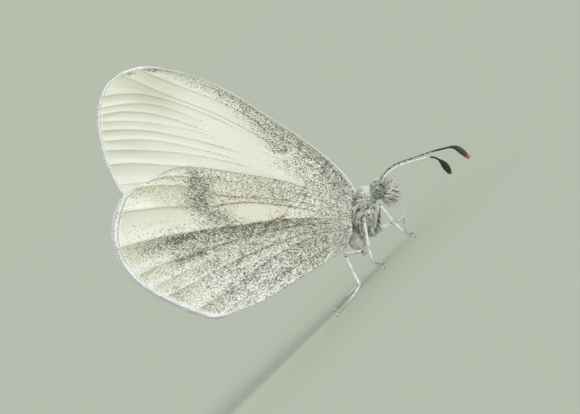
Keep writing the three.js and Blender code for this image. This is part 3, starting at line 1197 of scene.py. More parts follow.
HINDWING = WingPlan(
    kind="hindwing",
    root=(3.49, 4.4),
    bearing=142.0,
    leading=((0.05, -0.75), (0.7, -1.8), (4.5, -3.7), (8.0, -4.85), (11.8, -5.85),
             (13.3, -5.95), (15.8, -5.2), (18.1, -4.1)),
    margin=((18.1, -4.1), (18.9, -2.35), (19.15, -0.7), (18.7, 1.25), (17.4, 3.1), (15.1, 4.8),
            (13.3, 5.85), (11.8, 6.5)),
    trailing=((0.1, 0.9), (0.9, 2.15), (2.8, 3.2), (6.3, 4.8), (9.7, 6.0), (11.8, 6.5)),
    veins=(
        Vein(((0.07, -0.73), (0.67, -1.72), (4.46, -3.69), (8.03, -4.85), (11.77, -5.83),
              (12.97, -5.96), (13.87, -5.86), (14.71, -5.55)), 0.03, 0.15),
        Vein(((0.04, -0.61), (1.57, -1.64), (4.55, -2.97), (8.12, -4.06), (11.64, -4.93),
              (14.43, -5.23), (15.84, -4.88)), 0.02, 0.15),
        Vein(((0.02, -0.48), (2.0, -1.41), (4.64, -2.22), (7.08, -2.72), (9.63, -3.19),
              (11.61, -3.88), (13.51, -4.4), (15.73, -4.47), (16.64, -4.26)), 0.03, 0.5),
        Vein(((0.02, -0.32), (2.44, -1.09), (4.69, -1.78), (7.12, -2.36), (8.47, -2.57),
              (11.77, -2.59), (14.64, -2.86), (17.91, -2.76)), 0.035, 0.75),
        Vein(((0.03, -0.16), (2.5, -0.6), (6.18, -0.87), (8.69, -0.79), (10.78, -0.8),
              (12.81, -0.76), (15.64, -0.63), (18.59, -0.18)), 0.04, 0.35),
        Vein(((0.04, 0.0), (2.71, -0.21), (6.59, -0.12), (8.81, 0.21), (12.19, 0.88),
              (15.16, 1.41), (17.55, 2.16)), 0.03, 0.45),
        Vein(((0.04, 0.12), (2.74, 0.03), (6.0, 0.31), (9.14, 0.98), (13.15, 2.1),
              (16.52, 3.25)), 0.0, 0.1),
        Vein(((0.05, 0.24), (2.61, 0.29), (5.58, 0.85), (9.0, 1.76), (12.45, 2.99),
              (15.4, 4.0)), 0.03, 0.5),
        Vein(((0.06, 0.4), (2.49, 0.58), (5.17, 1.46), (7.65, 2.61), (10.11, 4.08),
              (13.15, 5.36)), 0.03, 0.5),
        Vein(((0.08, 0.64), (1.54, 1.43), (3.52, 2.43), (6.24, 3.55), (8.54, 4.6),
              (11.22, 6.04)), 0.03, 0.4),
        Vein(((0.1, 0.88), (0.82, 2.08), (1.51, 2.48), (2.8, 3.15), (4.1, 3.72), (6.29, 4.76),
              (8.02, 5.5), (9.72, 5.94), (10.91, 6.16)), 0.02, 0.5),
    ),
    pleats=(-0.03, -0.05, -0.06, -0.08, -0.05, -0.04, -0.04, -0.09, -0.09, -0.03),
    dust=(
        Patch(11.9, -4.5, 1.0, 1.1, 0.44), Patch(12.0, -3.0, 1.1, 0.8, 0.42),
        Patch(10.8, -1.75, 1.1, 0.6, 0.42), Patch(9.4, -1.05, 1.3, 0.35, 0.3),
        Patch(15.2, 0.0, 1.5, 0.5, 0.34, 8), Patch(13.0, 1.2, 1.5, 0.5, 0.22, 20),
        Patch(14.2, -1.1, 1.3, 0.4, 0.1), Patch(11.2, 0.0, 1.2, 0.45, -0.1, 8),
        Patch(16.4, -3.2, 1.4, 0.9, -0.08), Patch(12.8, 3.1, 1.3, 0.5, -0.12, 25),
        Patch(8.2, 1.2, 1.3, 0.6, 0.16, 15), Patch(11.9, 2.2, 2.2, 0.5, 0.24, 20),
        Patch(5.4, 3.0, 2.4, 0.9, 0.16, 28), Patch(8.8, 3.6, 2.4, 1.0, 0.16, 28),
        Patch(13.4, 4.3, 1.2, 0.9, -0.05, 25), Patch(2.2, 0.9, 2.0, 1.6, 0.08),
        Patch(4.2, -1.2, 1.6, 0.6, -0.16),
    ),
    tint=(Patch(14.6, -3.6, 2.6, 1.6, 0.3), Patch(16.8, -3.2, 1.4, 1.0, -0.45),
          Patch(8.0, -2.5, 4.0, 2.5, 0.3),
          Patch(9.0, 4.0, 6.0, 2.0, -0.35)),
    shade=(Patch(11.7, -3.9, 1.1, 1.3, 0.22), Patch(10.4, -1.6, 1.2, 0.6, 0.22),
           Patch(7.5, 0.3, 5.5, 0.7, 0.2, 6), Patch(2.5, 1.2, 2.2, 1.6, 0.2),
           Patch(13.6, -1.7, 2.4, 0.9, 0.14)),
    cells=(
        Cell(3.0, 4.0, 4.4, 10.4, -0.22, 0.05, 3.0), Cell(3.0, 4.0, 12.0, 20.0, -0.075, 0.06),
        Cell(4.0, 5.6, 1.5, 15.2, 0.12, 0.3), Cell(6.6, 10.0, 7.0, 20.0, 0.1, 0.3, 3.0),
        Cell(0.0, 3.0, 3.0, 13.0, 0.05, 0.3, 2.0),
    ),
    bands=(Band(4.0, 0.55, 4.0, 18.2, 0.18, 3.0), Band(4.0, 1.5, 2.0, 15.5, 0.22, 3.0),
           Band(7.0, 0.3, 3.0, 15.0, 0.08),
           Band(5.0, 0.35, 3.0, 15.5, 0.1), Band(8.0, 0.3, 3.0, 13.0, 0.08)),
    wedge=0.12,
    layer=0.74,
    fringe=0.42,
    root_hair=1.5,
    lights=(((0.5, 0.3), (1.1, 1.3), (2.5, 2.9)),),
    root_dust=0.24,
    root_reach=(1.0, 13.5),
    least_dust=0.09,
    tip=14.5,
    rim_width=0.06,
    rail=0.5,
    folds=(((6.18, -0.85), (5.15, -1.14), 0.95),),
)


@dataclass
class Wing:
    """One wing: a closed membrane with veins and pleats, its fringe, dust scales and root hair."""

    plan: WingPlan
    side: Side
    rows: int = 170
    columns: int = 10  # between neighbouring veins
    membrane: float = 0.05
    bead: float = 0.05  # how much thicker the leading edge is either way
    seed: int = 11
    lines: Array = field(init=False)
    ends: Array = field(init=False)
    rim: Array = field(init=False)

    def __post_init__(self) -> None:
        """Work out the veins' lines and where they meet the margin."""
        self.rng = np.random.default_rng(self.seed)
        self.lines = np.stack([smooth_path(vein.points, 200) for vein in self.plan.veins])
        self.rim = self.plan.outline()
        steps = np.linalg.norm(np.diff(self.rim, axis=0), axis=1)
        self.rim_length = np.concatenate([[0], np.cumsum(steps)])
        self.ends = np.array([
            self.rim_length[np.argmin(np.linalg.norm(self.rim - line[-1], axis=1))]
            for line in self.lines
        ])

    @property
    def name(self) -> str:
        """The wing's name, which is its CAD node's too."""
        return f"{self.plan.kind}_{self.side.word}"

    # -- its surface

    def rim_at(self, length: Array) -> tuple[Array, Array]:
        """Points of the outline and the directions out of it.

        Args:
            length: How far along the outline.

        Returns:
            Points and outward unit vectors in the wing's frame.
        """
        def point(reach: Array) -> Array:
            return np.stack([np.interp(reach, self.rim_length, self.rim[:, k]) for k in (0, 1)], 1)

        along = unit(point(length + 0.25) - point(length - 0.25))
        return point(length), np.stack([along[:, 1], -along[:, 0]], axis=1)

    def fringe_at(self, length: Array) -> Array:
        """The fringe's length at places along the outline: none along the leading edge.

        Args:
            length: How far along the outline they are.

        Returns:
            Lengths in mm.
        """
        start, full = (self.ends[vein] for vein in self.plan.fringe_from)
        end = self.ends[-1]
        grown = ease(start - 0.5, full, length)
        return self.plan.fringe * grown * (1 - 0.45 * ease(end - 2.0, end + 1.5, length))

    def lay(self, vein: Array, share: Array) -> Array:
        """Places of the wing's frame between the veins.

        Args:
            vein: Which vein, from 0 at the leading edge, with the part of the way to the next.
            share: How far from the hinge to the margin.

        Returns:
            Points in the wing's frame.
        """
        count = len(self.lines)
        before = np.clip(vein.astype(int), 0, count - 2)
        part = (vein - before)[:, None]
        at = share * (self.lines.shape[1] - 1)
        low = np.clip(at.astype(int), 0, self.lines.shape[1] - 2)
        rest = (at - low)[:, None]

        def on(line: Array) -> Array:
            return self.lines[line, low] * (1 - rest) + self.lines[line, low + 1] * rest

        inner = on(before) * (1 - part) + on(before + 1) * part
        length = np.interp(vein, np.arange(count), self.ends)
        edge, outward = self.rim_at(length)
        edge = edge - outward * (1 - HEM) * self.fringe_at(length)[:, None]
        last = self.lines[before, -1] * (1 - part) + self.lines[before + 1, -1] * part
        return inner + (edge - last) * (share ** 5)[:, None]

    def between(self, vein: Array, share: Array) -> tuple[Array, ...]:
        """The vein before each place, the part of the way to the next, and how far apart they are.

        Args:
            vein: As in lay.
            share: As in lay.

        Returns:
            Vein numbers, parts and distances in mm.
        """
        before = np.clip(vein.astype(int), 0, len(self.lines) - 2)
        at = np.clip((share * (self.lines.shape[1] - 1)).astype(int), 0, self.lines.shape[1] - 1)
        gap = np.linalg.norm(self.lines[before + 1, at] - self.lines[before, at], axis=1)
        return before, vein - before, gap

    def relief(self, vein: Array, share: Array, places: Array) -> Array:
        """How far pleats and veins stand out from the wing's plane.

        Args:
            vein: As in lay.
            share: As in lay.
            places: The same points in the wing's frame.

        Returns:
            Millimetres outward.
        """
        before, part, gap = self.between(vein, share)
        room = np.clip(gap / 0.7, 0, 1)
        pleat = np.array(self.plan.pleats)[before] * (0.08 + 0.92 * ease(0.35, 0.95, share))
        rise = pleat * np.sin(np.pi * part) * room
        ridge = np.array([each.ridge for each in self.plan.veins])
        u, v = places.T
        start = np.array([each.start for each in self.plan.veins])
        for index, off in ((before, part * gap), (before + 1, (1 - part) * gap)):
            there = ease(start[index] - 1.5, start[index] + 0.5, u)
            rise = rise + ridge[index] * bell(off, VEIN_REACH) * (1.1 - 0.6 * share) * there
        rise = rise + 0.035 * np.sin(0.55 * u + 0.4) * np.sin(0.7 * v + 1.1)
        rise = rise + 0.014 * np.sin(1.7 * u + 0.9 * v) * np.sin(1.9 * v - 0.8 * u + 2.0)
        if self.plan.kind == "hindwing":
            # The fold at the middle vein: the cell above leans out to it, the cell below drops.
            crest = distance_to_line(places, self.lines[MIDDLE_VEIN][::8])
            wide = np.where(vein < MIDDLE_VEIN, 1.5, 0.8)
            rise = rise + FOLD_HEIGHT * bell(crest, wide) * ease(0.05, 0.3, share)
        for light in self.plan.lights:
            rise = rise + 0.03 * bell(distance_to_line(places, np.array(light)), 0.1)
        for *line, depth in self.plan.folds:
            rise = rise - 0.08 * depth * bell(distance_to_line(places, np.array(line)), 0.12)
        return rise

    def stand(self, places: Array, out: Array) -> Array:
        """Take the wing's frame to body coordinates.

        Args:
            places: Points in the wing's frame.
            out: Millimetres outward from the wing's centre plane.

        Returns:
            Points in body coordinates.
        """
        turn = math.radians(self.plan.bearing)
        u, v = places.T
        x = self.plan.root[0] + u * math.cos(turn) - v * math.sin(turn)
        z = self.plan.root[1] + u * math.sin(turn) + v * math.cos(turn)
        reach = np.hypot(x - HINGE[0], z - HINGE[1])
        plane = self.plan.layer + HINGE_SPREAD * (1 - ease(0, CLOSING, reach))
        return np.stack([x, self.side.value * (plane + out), z], axis=1)

    def surface(self, vein: Array, share: Array, lift: float = 0.0) -> Array:
        """The wing's outer face in body coordinates, at a lift in millimetres."""
        places = self.lay(vein, share)
        return self.stand(places, self.relief(vein, share, places) + self.membrane / 2 + lift)

    def facing(self, vein: Array, share: Array) -> tuple[Array, Array]:
        """Directions on the outer face.

        Args:
            vein: As in lay.
            share: As in lay.

        Returns:
            Unit vectors along the veins and out of the face.
        """
        base = self.surface(vein, share)
        ahead = self.surface(vein, np.clip(share + 0.01, 0, 1)) - self.surface(vein, share - 0.01)
        aside = self.surface(np.clip(vein + 0.02, 0, len(self.lines) - 1), share) - base
        back = base - self.surface(np.clip(vein - 0.02, 0, None), share)
        out = unit(np.cross(ahead, aside + back))
        out *= np.sign(out[:, 1:2]) * self.side.value
        return unit(ahead), out

    # -- its markings

    def marks(self, vein: Array, share: Array) -> dict[str, Array]:
        """Dust, tint and shade of the outer face, with painted shade of the pleats in its tint and
        shade.

        Args:
            vein: As in lay.
            share: As in lay.

        Returns:
            The marks by name.
        """
        plan, places = self.plan, self.lay(vein, share)
        u = places[:, 0]
        dust = plan.least_dust + plan.root_dust * (1 - ease(*plan.root_reach, u))
        edge = self.from_leading_edge(places)
        if plan.costal_dust:
            wide, strength = np.interp(u, *COSTAL_WIDTH), np.interp(u, *COSTAL_STRENGTH)
            within = (0.7 + 0.3 * ease(0.3, 0.6, edge)) * (1 - ease(0.25 * wide, 1.3 * wide, edge))
            dust = dust + plan.costal_dust * strength * within
        dust = dust + sum(patch.over(places) for patch in plan.dust)
        for mark in (*plan.cells, *plan.bands):
            dust = dust + mark.over(vein, u)
        for line in plan.lights:
            dust = dust * (1 - bell(distance_to_line(places, np.array(line)), 0.09))
        # A thin dark line runs beside the bare leading edge.
        veins = self.vein_marks(vein, share, places)
        dust = dust + 0.4 * veins * (1 - ease(0.5, 0.75, share)) * ease(2.0, 5.0, u)
        before_tip = 1 - ease(plan.tip - 4.0, plan.tip - 1.0, u)
        rail = plan.rail * bell(edge - plan.rim_width - 0.05, 0.05) * before_tip
        covered = 1 - before_tip * (1 - ease(0.7 * plan.rim_width, plan.rim_width, edge))
        dust = dust * covered
        hem = ease(0.4 * plan.fringe, 1.1 * plan.fringe, self.from_margin(vein, share))
        part = np.where(vein > len(self.lines) - 2, 1.0, vein % 1)
        shade = sum((patch.over(places) for patch in plan.shade), np.zeros(len(u)))
        shade = shade + 0.4 * plan.costal_dust * bell(edge, 0.6) * before_tip
        # Painted shade of the pleats: each cell is darker just below its leading vein, near the margin.
        shade = shade + plan.wedge * (1 - ease(0.0, 0.6, part)) * ease(0.62, 0.93, share) * hem
        tint = plan.tint_base + sum(patch.over(places) for patch in plan.tint)
        # A warm painted shade of the pleats in the same place, carried by the tint.
        tint = tint + 0.4 * (1 - ease(0.0, 0.7, part)) * ease(0.75, 0.96, share)
        return {
            "dust": np.clip(dust, 0, MOST_DUST) * hem, "tint": np.clip(tint, 0, 1) * hem * covered,
            "shade": shade, "vein": veins * hem + rail,
        }

    def inner_marks(self, vein: Array, share: Array) -> dict[str, Array]:
        """Marks of the inner face: white, with a grey patch at the forewing's tip.

        Args:
            vein: As in lay.
            share: As in lay.

        Returns:
            The marks by name.
        """
        places = self.lay(vein, share)
        dust = 0.01 + 0.3 * (1 - ease(0.5, 6.0, places[:, 0]))
        if self.plan.kind == "forewing":
            dust = dust + Patch(20.4, -2.6, 2.0, 1.6, 0.6).over(places)
        plain = np.zeros(len(places))
        veins = 0.35 * self.vein_marks(vein, share, places)
        return {"dust": np.clip(dust, 0, 0.8), "tint": plain + 0.5, "shade": plain, "vein": veins}

    def from_leading_edge(self, places: Array) -> Array:
        """How far places of the wing's frame lie from the leading edge."""
        tip = int(np.argmax(self.rim[:, 0] > self.rim[:, 0].max() - 0.6))
        return np.abs(places[:, 1] - np.interp(places[:, 0], self.rim[:tip, 0], self.rim[:tip, 1]))

    def from_margin(self, vein: Array, share: Array) -> Array:
        """How far places lie from the end of the membrane along the veins."""
        return (1 - share) * self.length_at(vein)

    def length_at(self, vein: Array) -> Array:
        """The way from the hinge to the margin along the veins and between them."""
        length = np.linalg.norm(np.diff(self.lines, axis=1), axis=2).sum(axis=1)
        return np.interp(vein, np.arange(len(length)), length)

    # -- its pieces

    def add_membrane(self, finish: Material) -> None:
        """Build the closed membrane with its maps and marks.

        Args:
            finish: The wing's material.
        """
        gaps = len(self.lines) - 1
        part = 0.5 - 0.5 * np.cos(np.pi * np.linspace(0, 1, self.columns + 1)[:-1])
        vein_at = np.append((np.arange(gaps)[:, None] + part).ravel(), gaps)
        # The last rows are narrow, so that only the edge itself is shaded round.
        share_at = np.append(np.linspace(0, 0.998, self.rows - 2) ** 0.92, (0.9993, 1.0))
        vein, share = (grid.ravel() for grid in np.meshgrid(vein_at, share_at))
        shape = (self.rows, len(vein_at))
        places = self.lay(vein, share)
        rise = self.relief(vein, share, places)
        edge = np.linalg.norm(places - self.lay(np.zeros_like(vein), share), axis=1)
        half = self.membrane / 2 + self.bead * bell(edge, 0.16) * (1 - 0.6 * share)
        bm = bmesh.new()
        flat = np.column_stack([places, np.zeros(len(places))])
        lay_grid(bm, flat.reshape(*shape, 3), places.reshape(*shape, 2), numbered=True)
        order = bm.verts.layers.int[ORDER]
        inner = bm.verts.layers.int.new(INNER)
        grown = bmesh.ops.extrude_face_region(bm, geom=bm.faces[:], use_keep_orig=True)["geom"]
        for item in grown:
            if isinstance(item, bmesh.types.BMVert):
                item[inner] = 1
        faces = (self.stand(places, rise + half), self.stand(places, rise - half))
        for vert in bm.verts:
            vert.co = faces[vert[inner]][vert[order]]
        mesh = mesh_of(bm, f"{self.name}_membrane")
        order_of, inner_of = whole_numbers(mesh, ORDER), whole_numbers(mesh, INNER)
        self._map(mesh, places[order_of], inner_of)
        outer, under = self.marks(vein, share), self.inner_marks(vein, share)
        for name, values in outer.items():
            paint(mesh, name, np.where(inner_of, under[name][order_of], values[order_of]))
        add_piece(mesh, finish, "wing", [self.name])

    def bake_spots(self, places: Array, inner: Array | int = 0) -> Array:
        """Where places of the wing's frame lie on the bake map.

        Args:
            places: Points in the wing's frame.
            inner: One for the inner face, which has the right half of the map.

        Returns:
            Points of the map.
        """
        low, high = self.rim.min(axis=0), self.rim.max(axis=0)
        share = (places - low) / (high - low)
        across = INSET + 0.45 * share[:, 1] + 0.5 * inner
        return np.stack([across, INSET + SPREAD * share[:, 0]], axis=1)

    def _map(self, mesh: Mesh, places: Array, inner: Array) -> None:
        """Give the membrane its Lie map and its bake map.

        Args:
            mesh: The membrane.
            places: Each vertex in the wing's frame.
            inner: One for each vertex of the inner face.
        """
        corner = np.empty(len(mesh.loops), np.int32)
        mesh.loops.foreach_get("vertex_index", corner)
        totals = np.array([face.loop_total for face in mesh.polygons])
        face_of = np.repeat(np.arange(len(totals)), totals)
        inside = np.bincount(face_of, inner[corner]) == totals
        lie = places[corner] + UNDER_LIE * inside[face_of][:, None]
        mesh.uv_layers[LIE_MAP].data.foreach_set("uv", lie.astype(np.float32).ravel())
        spots = self.bake_spots(places[corner], inside[face_of].astype(int))
        bake = mesh.uv_layers.new(name=BAKE_MAP)
        bake.data.foreach_set("uv", spots.astype(np.float32).ravel())

    def scatter(self, count: int, weigh: Callable[[Array, Array], Array]) -> tuple:
        """Pick places on the wing at random.

        Args:
            count: How many.
            weigh: How likely each place is, by vein number and share.

        Returns:
            Vein numbers and shares of the way to the margin.
        """
        gaps, along = (len(self.lines) - 1) * 6, 110
        vein, share = (grid.ravel() for grid in np.meshgrid(
            (np.arange(gaps) + 0.5) / 6, (np.arange(along) + 0.5) / along))
        places = self.lay(vein, share)
        du = self.lay(vein + 0.05, share) - places
        dv = self.lay(vein, np.minimum(share + 0.003, 1)) - places
        area = np.abs(du[:, 0] * dv[:, 1] - du[:, 1] * dv[:, 0])
        chance = area * weigh(vein, share)
        picked = self.rng.choice(len(vein), count, p=chance / chance.sum())
        vein = vein[picked] + self.rng.uniform(-0.5, 0.5, count) / 6
        share = share[picked] + self.rng.uniform(-0.5, 0.5, count) / along
        return np.clip(vein, 0.02, len(self.lines) - 1.02), np.clip(share, 0.01, 0.99)

    def add_dust(self, finish: Material) -> None:
        """Lay lifted dark scales where the wing is dusted, one at most in each small square.

        Args:
            finish: The scales' material.
        """
        vein, share = self.scatter(DUST_TRIES, lambda vein, share: np.ones(len(vein)))
        squares = np.floor(self.lay(vein, share) / DUST_PITCH)
        first = np.unique(squares, axis=0, return_index=True)[1]
        dust = self.marks(vein[first], share[first])["dust"]
        grown = self.rng.random(len(first)) < 1.15 * dust
        kept, dust = first[grown], dust[grown]
        vein, share, count = vein[kept], share[kept], len(kept)
        tone = self.rng.random(count)
        tone = np.where(dust < SPARSE, 0.4 + 0.6 * tone, tone)
        along, out = self.facing(vein, share)
        roots = self.surface(vein, share, 0.002)
        lie = along + out * self.rng.uniform(0.04, 0.2, (count, 1))
        lie = lie + self.rng.normal(0, 0.22, (count, 3))
        length = self.rng.uniform(0.055, 0.09, count)
        coat = Coat(
            f"{self.name}_dust", Tuft.SCALE, roots, lie, out, length,
            width=length * self.rng.uniform(0.32, 0.44, count),
            thickness=THIN, bend=-out * 0.08,
            unwrap=self.bake_spots(self.lay(vein, share)), tone=tone,
        )
        coat.add(finish, "wing")

    def heading(self, flat: Array) -> Array:
        """Directions of the wing's frame in body coordinates.

        Args:
            flat: The directions.

        Returns:
            Three numbers for each.
        """
        turn = math.radians(self.plan.bearing)
        du, dv = flat.T
        return np.stack([
            du * math.cos(turn) - dv * math.sin(turn),
            np.zeros(len(flat)),
            du * math.sin(turn) + dv * math.cos(turn),
        ], axis=1)

    def add_fringe(self, finish: Material) -> None:
        """Grow the fringe: broad scales on both faces of the hem, and spikes between them.

        Args:
            finish: The fringe's material.
        """
        coats = []
        for lift, back, spacing, reach, width in FRINGE_ROWS:
            at = np.arange(self.ends[self.plan.fringe_from[0]] - 0.3, self.ends[-1], spacing)
            count = len(at)
            at = at + self.rng.uniform(-0.45, 0.45, count) * spacing
            vein = np.interp(at, self.ends, np.arange(len(self.ends)))
            outward = self.heading(self.rim_at(at)[1])
            beyond = self.fringe_at(at) * (self.rng.uniform(*reach, count) - 1 + HEM)
            share = np.ones(count)
            roots = self.surface(vein, share - back * self.plan.fringe / self.length_at(vein), lift)
            tips = self.surface(vein, share, lift) + outward * beyond[:, None]
            tips += self.heading(self.rng.normal(0, 0.022, (count, 2)))
            coats.append(Coat(
                self.name, Tuft.BLADE, roots, tips - roots, self.facing(vein, share)[1],
                np.linalg.norm(tips - roots, axis=1),
                width=width * self.rng.uniform(0.8, 1.2, count), thickness=0.0018,
                bend=np.zeros(3), unwrap=self.bake_spots(self.lay(vein, share)),
                tone=self.rng.uniform(0.5, 1.0, count),
            ))
        coats.append(self._trailing_hairs())
        Coat.joined(f"{self.name}_fringe", coats).add(finish, "wing")

    def _trailing_hairs(self, count: int = 700) -> Coat:
        """Fine blades along the trailing edge.

        Args:
            count: How many.

        Returns:
            The coat.
        """
        share = self.rng.uniform(0.06, 0.99, count)
        vein = np.full(count, len(self.lines) - 1.0)
        places = self.lay(vein, share)
        along = unit(places - self.lay(vein, share - 0.02))
        outward = np.stack([-along[:, 1], along[:, 0]], axis=1)
        lie = self.heading(outward * 0.8 + along * 0.7 + self.rng.normal(0, 0.2, (count, 2)))
        long = self.rng.uniform(0.08, 0.2, count) * (0.6 + 0.6 * share)
        return Coat(
            self.name, Tuft.BLADE, self.surface(vein, share, -0.025) - self.heading(outward) * 0.05,
            lie, SIDEWAYS * self.side.value, long, width=0.018, thickness=THIN,
            bend=self.rng.normal(0, 0.08, (count, 3)), unwrap=self.bake_spots(places),
            tone=self.rng.uniform(0.0, 1.0, count),
        )

    def add_root_hair(self, finish: Material, count: int = 1900) -> None:
        """Grow the long thin scales that cover the hinge.

        Args:
            finish: The hair's material.
            count: How many.
        """
        reach, corner = self.plan.root_hair, Patch(0.9, 1.3, 0.9, 1.1, 2.2)

        def weigh(vein: Array, share: Array) -> Array:
            places = self.lay(vein, share)
            thick = corner.over(places) if self.plan.kind == "hindwing" else 0
            return bell(places[:, 0], reach) + thick

        vein, share = self.scatter(count, weigh)
        along, out = self.facing(vein, share)
        places = self.lay(vein, share)
        long = self.rng.uniform(0.16, 0.36, count) * (1.25 - 0.2 * np.minimum(places[:, 0], 4))
        lie = along + out * self.rng.uniform(0.05, 0.25, (count, 1))
        lie = lie + self.rng.normal(0, 0.13, (count, 3))
        coat = Coat(
            f"{self.name}_root_hair", Tuft.HAIR, self.surface(vein, share, -0.01), lie, out, long,
            width=self.rng.uniform(0.016, 0.03, count), thickness=0.012,
            bend=-out * 0.12 + self.rng.normal(0, 0.06, (count, 3)),
            unwrap=self.bake_spots(places), tone=self.rng.uniform(0.06, 1.0, count),
        )
        coat.add(finish, "wing")

    def vein_marks(self, vein: Array, share: Array, places: Array) -> Array:
        """How brown the veins make each place.

        Args:
            vein: As in lay.
            share: As in lay.
            places: The same points in the wing's frame.

        Returns:
            Numbers from 0 to about 1.
        """
        before, part, gap = self.between(vein, share)
        shows = np.array([each.shows for each in self.plan.veins])
        start = np.array([each.start for each in self.plan.veins])
        brown = np.zeros(len(vein))
        for index, off in ((before, part * gap), (before + 1, (1 - part) * gap)):
            there = ease(start[index] - 1.0, start[index] + 1.0, places[:, 0])
            brown += shows[index] * bell(off, BROWN_REACH) * there
        brown += 0.1 * bell((part - 0.5) * gap, 0.05) * ease(0.7, 0.92, share)
        for *line, depth in self.plan.folds:
            brown += depth * bell(distance_to_line(places, np.array(line)), 0.08)
        return np.clip(brown * ease(0.02, 0.2, share), 0, 1)


# ------------------------------------------------------------------ body and its hair


LOCK_PACE, LOCK_PULL = 2.6, 0.3  # how quickly hair turns from lock to lock, and how far
STREAK_PACE = 5.5  # how quickly the field of the dark streaks turns, per millimetre
STREAK_FROM = 0.38  # where the field makes a streak
BLACK = (0.0, 0.05)  # tones of regions whose hair is all dark
TAIL_REACH, BODY_LENGTH = 7.5, 15.5  # what the body's unwrap covers, in mm


@dataclass(frozen=True)
class Pelt:
    """A region of body hair: where it grows, how it lies and how long it is."""

    centre: Triple
    reach: Triple
    count: int
    length: Pair
    lie: Triple
    lift: float
    width: float = 0.016
    kind: Tuft = Tuft.HAIR
    stray: float = 0.22
    tones: Pair = (0.0, 1.0)
    streaks: float = 0.5  # the share of its hairs that are dark in a streak

    @property
    def mirrored(self) -> bool:
        """Whether it grows on both sides: where it lies off the midline."""
        return self.centre[1] > 0

    def within(self, points: Array) -> Array:
        """How much each point belongs to the region, from 0 to 1.

        Args:
            points: The points.

        Returns:
            One share for each.
        """
        centre = np.array(self.centre)
        given = points.copy()
        if self.mirrored:
            given[:, 1] = np.abs(given[:, 1])
        off = np.linalg.norm((given - centre) / np.array(self.reach), axis=1)
        return 1 - ease(0.8, 1.15, off)


